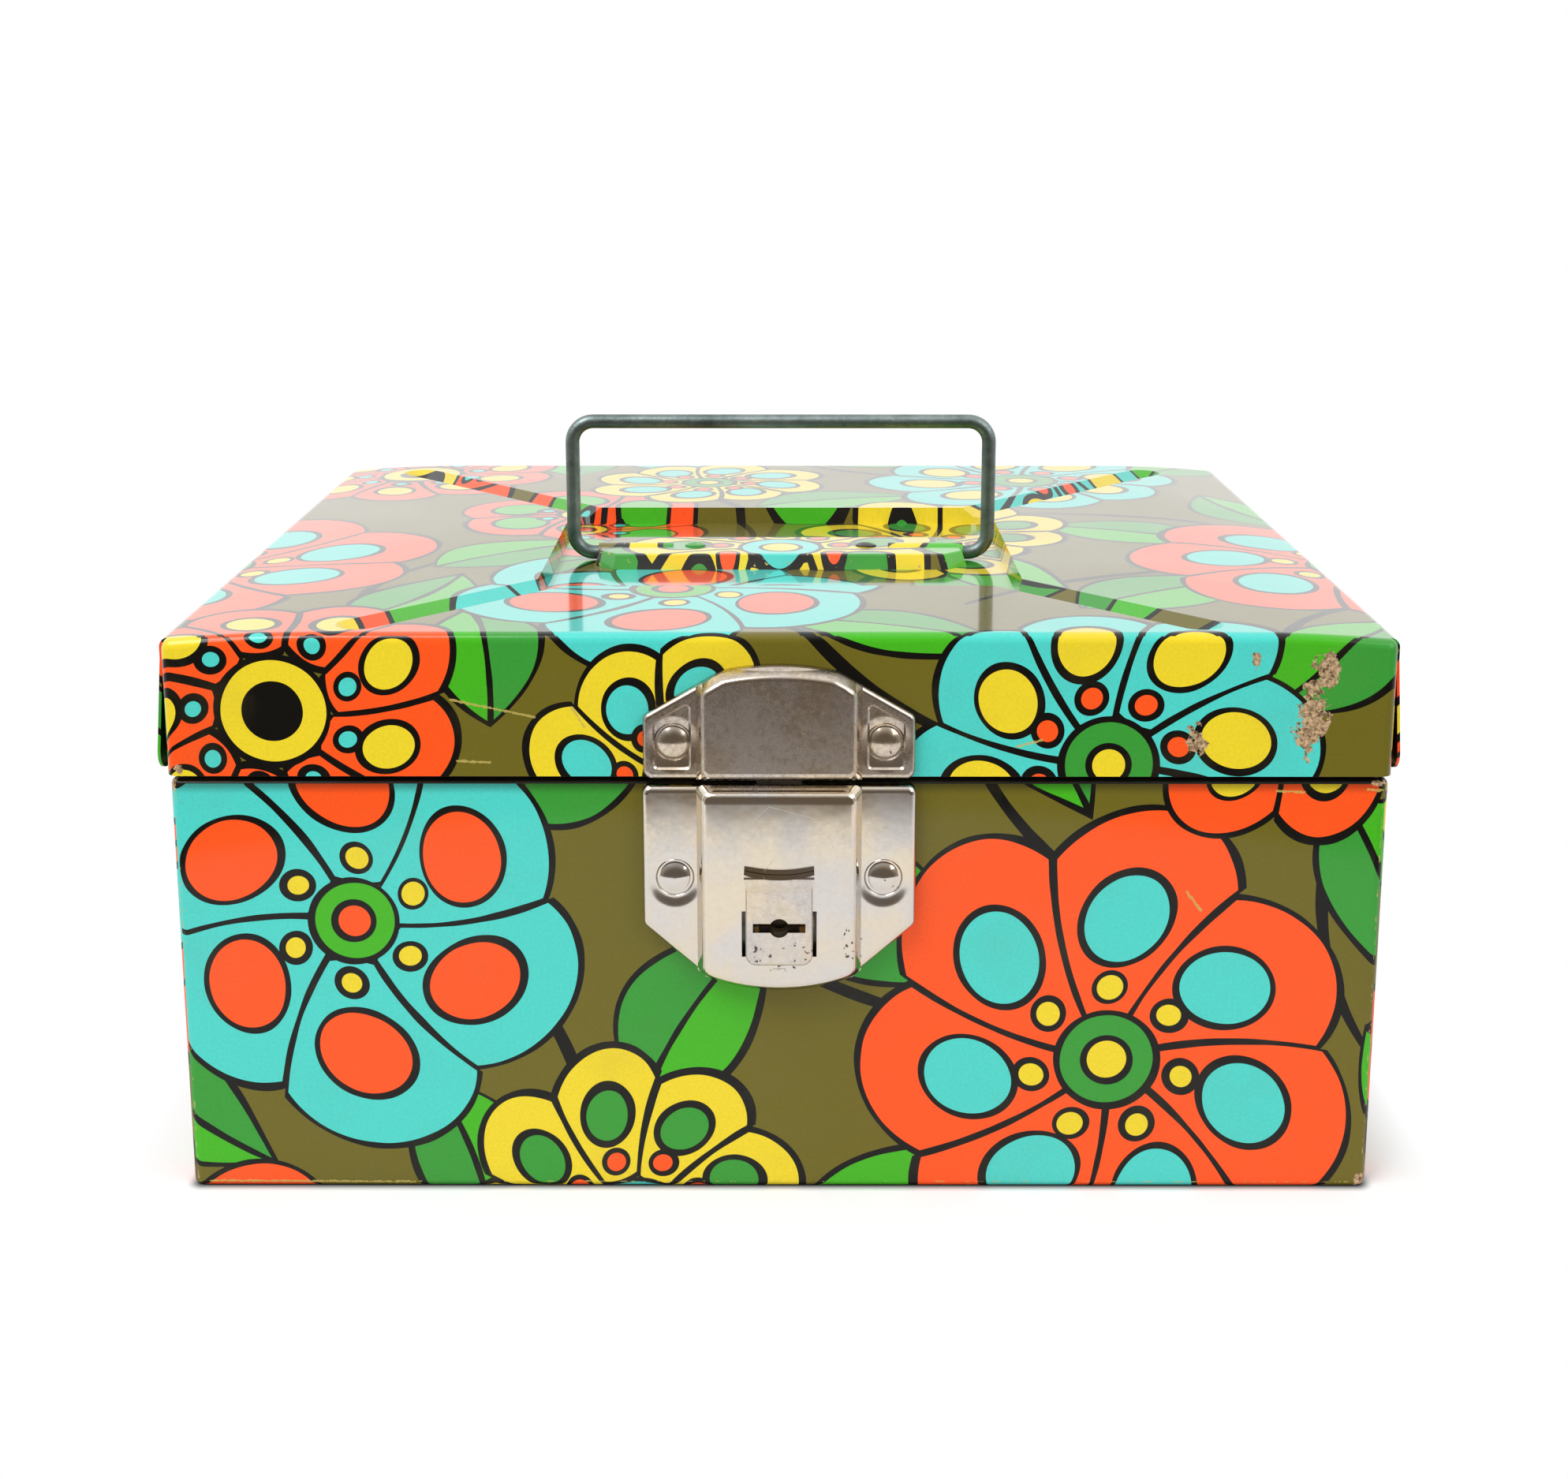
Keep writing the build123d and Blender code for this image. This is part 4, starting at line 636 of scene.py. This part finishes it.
# ---- Lock on the tray -------------------------------------------------------------------------
# The case is pressed like the catch. Behind it a sprung button carries the slide, whose slanting
# slot draws the bolt out of the hasp, and the tumbler in its cup takes the key.
keyhole_pits = ((0, catch_front, 68), (9, 12, 5))
case_nickel = nickel(
    "nickel_case", tarnish=0.12,
    pits=[keyhole_pits, ((19, catch_front, 70), (3, 9, 6)), ((27, catch_front, 84), (4, 9, 3))],
    hairlines=[
        ((-5.8, 0, 103.6), (-2.6, 0, 106.8)), ((-2.6, 0, 106.8), (9, 0, 103.6)),
        ((-4.5, 0, 103), (4.9, 0, 102.3)), ((-1.6, 0, 92.6), (-3.8, 0, 89.7)),
    ],
    panel=((0, catch_front, 83.7), (19.1, 40, 27)), roll=3.5,
    dishes=[(-26.4, catch_front, 86.3), (26.4, catch_front, 86.3)],
)
button_nickel = nickel(
    "nickel_button", tarnish=0.3, pits=[keyhole_pits], hairlines=[],
    panel=((0, catch_front, 77), (8.4, 40, 11.7)), roll=1.8, dishes=[])
for node_name in ("lock_case", "lock_rivets"):
    dress(node_name, case_nickel)
dress("slide_button", button_nickel)
for node_name in ("lock_back_plate", "latch_slide", "latch_bolt", "tumbler_cup", "button_spring"):
    dress(node_name, plain_steel)
dress("lock_tumbler", worn_steel(
    "tumbler_brass", light="#B8955A", dark="#8E6E3C", rough=(0.3, 0.45), grain=(2.0, 0.4, 0.4),
    stain_share=0.5, relief=0.00006))

# ---- Hinge ------------------------------------------------------------------------------------
# Two steel leaves riveted outside the back walls, with a loose pin through their knuckles.
for node_name in ("hinge_leaf_body", "hinge_leaf_lid", "hinge_pin", "hinge_rivets_body", "hinge_rivets_lid"):
    dress(node_name, plain_steel)

# ---- Floor ------------------------------------------------------------------------------------
# A round white table that runs out into the white background. Its colour is painted dark as a contact
# shadow where the tray rests, turns pale a few millimetres beyond, and farther out it turns pure white to
# the eye.
TABLE_RADIUS = 0.45
FOOT = (0.152, 0.127, 0)     # half the width and depth of the tray's flat foot, m
PALE_FROM = (0.001, 0.005)   # the way beyond the foot in which the painted shadow turns pale, m
WHITE_FROM = 0.022           # the way beyond the foot at which the eye sees white, m
CONTACT_SHADOW, PALE = 0.1, 0.9
bpy.ops.mesh.primitive_circle_add(vertices=96, radius=TABLE_RADIUS, fill_type="NGON")
floor = bpy.context.object
floor.name = "floor"
material, tree, shader = new_material("white_table")
shader.inputs["Roughness"].default_value = 0.9
shader.inputs["Specular IOR Level"].default_value = 0.1
coordinates = tree.nodes.new("ShaderNodeTexCoord")
away = vector_calc(tree, "SUBTRACT", vector_calc(tree, "ABSOLUTE", coordinates.outputs["Object"]), FOOT)
off_foot = vector_calc(tree, "LENGTH", vector_calc(tree, "MAXIMUM", away, (0, 0, 0)))
# Painted contact shadow: the table's colour darkens towards the tray's foot.
shade = ramp(tree, off_foot, *PALE_FROM, CONTACT_SHADOW, PALE, smooth=True)
feed(tree, shader.inputs["Base Color"], joined(tree, shade, shade, shade))
path = tree.nodes.new("ShaderNodeLightPath")
seen = both(tree, path.outputs["Is Camera Ray"], ramp(tree, off_foot, PALE_FROM[0], WHITE_FROM))
white = tree.nodes.new("ShaderNodeEmission")
mixed = tree.nodes.new("ShaderNodeMixShader")
for socket, output in zip(mixed.inputs, (seen, shader.outputs[0], white.outputs[0])):
    tree.links.new(output, socket)
tree.links.new(mixed.outputs[0], tree.nodes["Material Output"].inputs["Surface"])
floor.data.materials.append(material)
floor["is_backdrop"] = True

# ---- World ------------------------------------------------------------------------------------
# White to the eye on every side. Reflections find it bright behind and above, and find a dim room
# with a warm tint in front of the table. All else is lit by plain white at WORLD_LIGHT.
WORLD_LIGHT = 0.52
DIM_ROOM = 0.16
BRIGHT_BACK = 1.2
ROOM_ENDS = (-0.75, 0.2)     # the room brightens between these directions, -1 in front and 1 behind
WHITE = (1, 1, 1, 1)
ROOM_TINT = (1.0, 0.82, 0.66, 1)
world = bpy.data.worlds.new("studio")
bpy.context.scene.world = world
world.use_nodes = True
tree = world.node_tree
background = tree.nodes["Background"]
path = tree.nodes.new("ShaderNodeLightPath")
coordinates = tree.nodes.new("ShaderNodeTexCoord")
_, toward_back, upward = split(tree, coordinates.outputs["Generated"])
back_or_up = calc(tree, "ADD", toward_back, both(tree, upward, 0.5))
room = ramp(tree, back_or_up, *ROOM_ENDS, DIM_ROOM, BRIGHT_BACK)
glossy = ramp(tree, path.outputs["Is Glossy Ray"], 0, 1, WORLD_LIGHT, room)
eye = calc(tree, "MAXIMUM", path.outputs["Is Camera Ray"], path.outputs["Is Transmission Ray"])
feed(tree, background.inputs["Strength"], ramp(tree, eye, 0, 1, glossy, 1.0))
warm = over(tree, ramp(tree, glossy, DIM_ROOM, 0.6), ROOM_TINT, WHITE)
reflected = both(tree, path.outputs["Is Glossy Ray"], calc(tree, "SUBTRACT", 1, eye))
feed(tree, background.inputs["Color"], over(tree, reflected, WHITE, warm))

# ---- Lamps ------------------------------------------------------------------------------------
# Two large soft boxes aimed at the box, a main one high on the left and a weaker one on the right.
AIM = (0.0, 0.0, 0.08)
for name, spot, size, power in (
    ("main_light", (-0.8, -0.8, 1.5), 1.0, 24.0),
    ("fill_light", (1.0, -0.8, 0.9), 0.9, 7.0),
):
    lamp = bpy.data.lights.new(name, "AREA")
    lamp.size = size
    lamp.energy = power
    holder = bpy.data.objects.new(name, lamp)
    bpy.context.collection.objects.link(holder)
    holder.location = spot
    aim = [a - b for a, b in zip(AIM, spot)]
    length = math.sqrt(sum(a * a for a in aim))
    holder.rotation_euler = (math.acos(-aim[2] / length), 0, math.atan2(aim[1], aim[0]) - math.pi / 2)

# ---- Camera -----------------------------------------------------------------------------------
# In front of the middle of the box, two thirds of a metre away and well above the lid, looking a little
# down. The frame is shifted, so that the lens looks straight at a row above the picture's middle.
PICTURE_WIDTH = 1988
PICTURE_HEIGHT = 1875
SENSOR_WIDTH = 36.0          # mm
FOCAL_PIXELS = 2850.7
AXIS_ROW = 738.7             # that row, counted from the top
EYE = (0.0023, -0.6738, 0.2816)
DOWN = 0.2147                # radians below level
TURN = 0.0020                # radians to the left
eye_camera = bpy.data.cameras.new("camera")
eye_camera.sensor_width = SENSOR_WIDTH
eye_camera.lens = FOCAL_PIXELS / PICTURE_WIDTH * SENSOR_WIDTH
eye_camera.shift_y = (AXIS_ROW - PICTURE_HEIGHT / 2) / PICTURE_WIDTH
eye_camera.clip_start = 0.01
camera = bpy.data.objects.new("camera", eye_camera)
bpy.context.collection.objects.link(camera)
camera.location = EYE
camera.rotation_euler = (math.pi / 2 - DOWN, 0, TURN)
bpy.context.scene.camera = camera
bpy.context.scene.view_settings.view_transform = "Standard"

shown_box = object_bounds()
sizes = {"cad": [list(corner) for corner in cad_box], "visual": [list(corner) for corner in shown_box]}
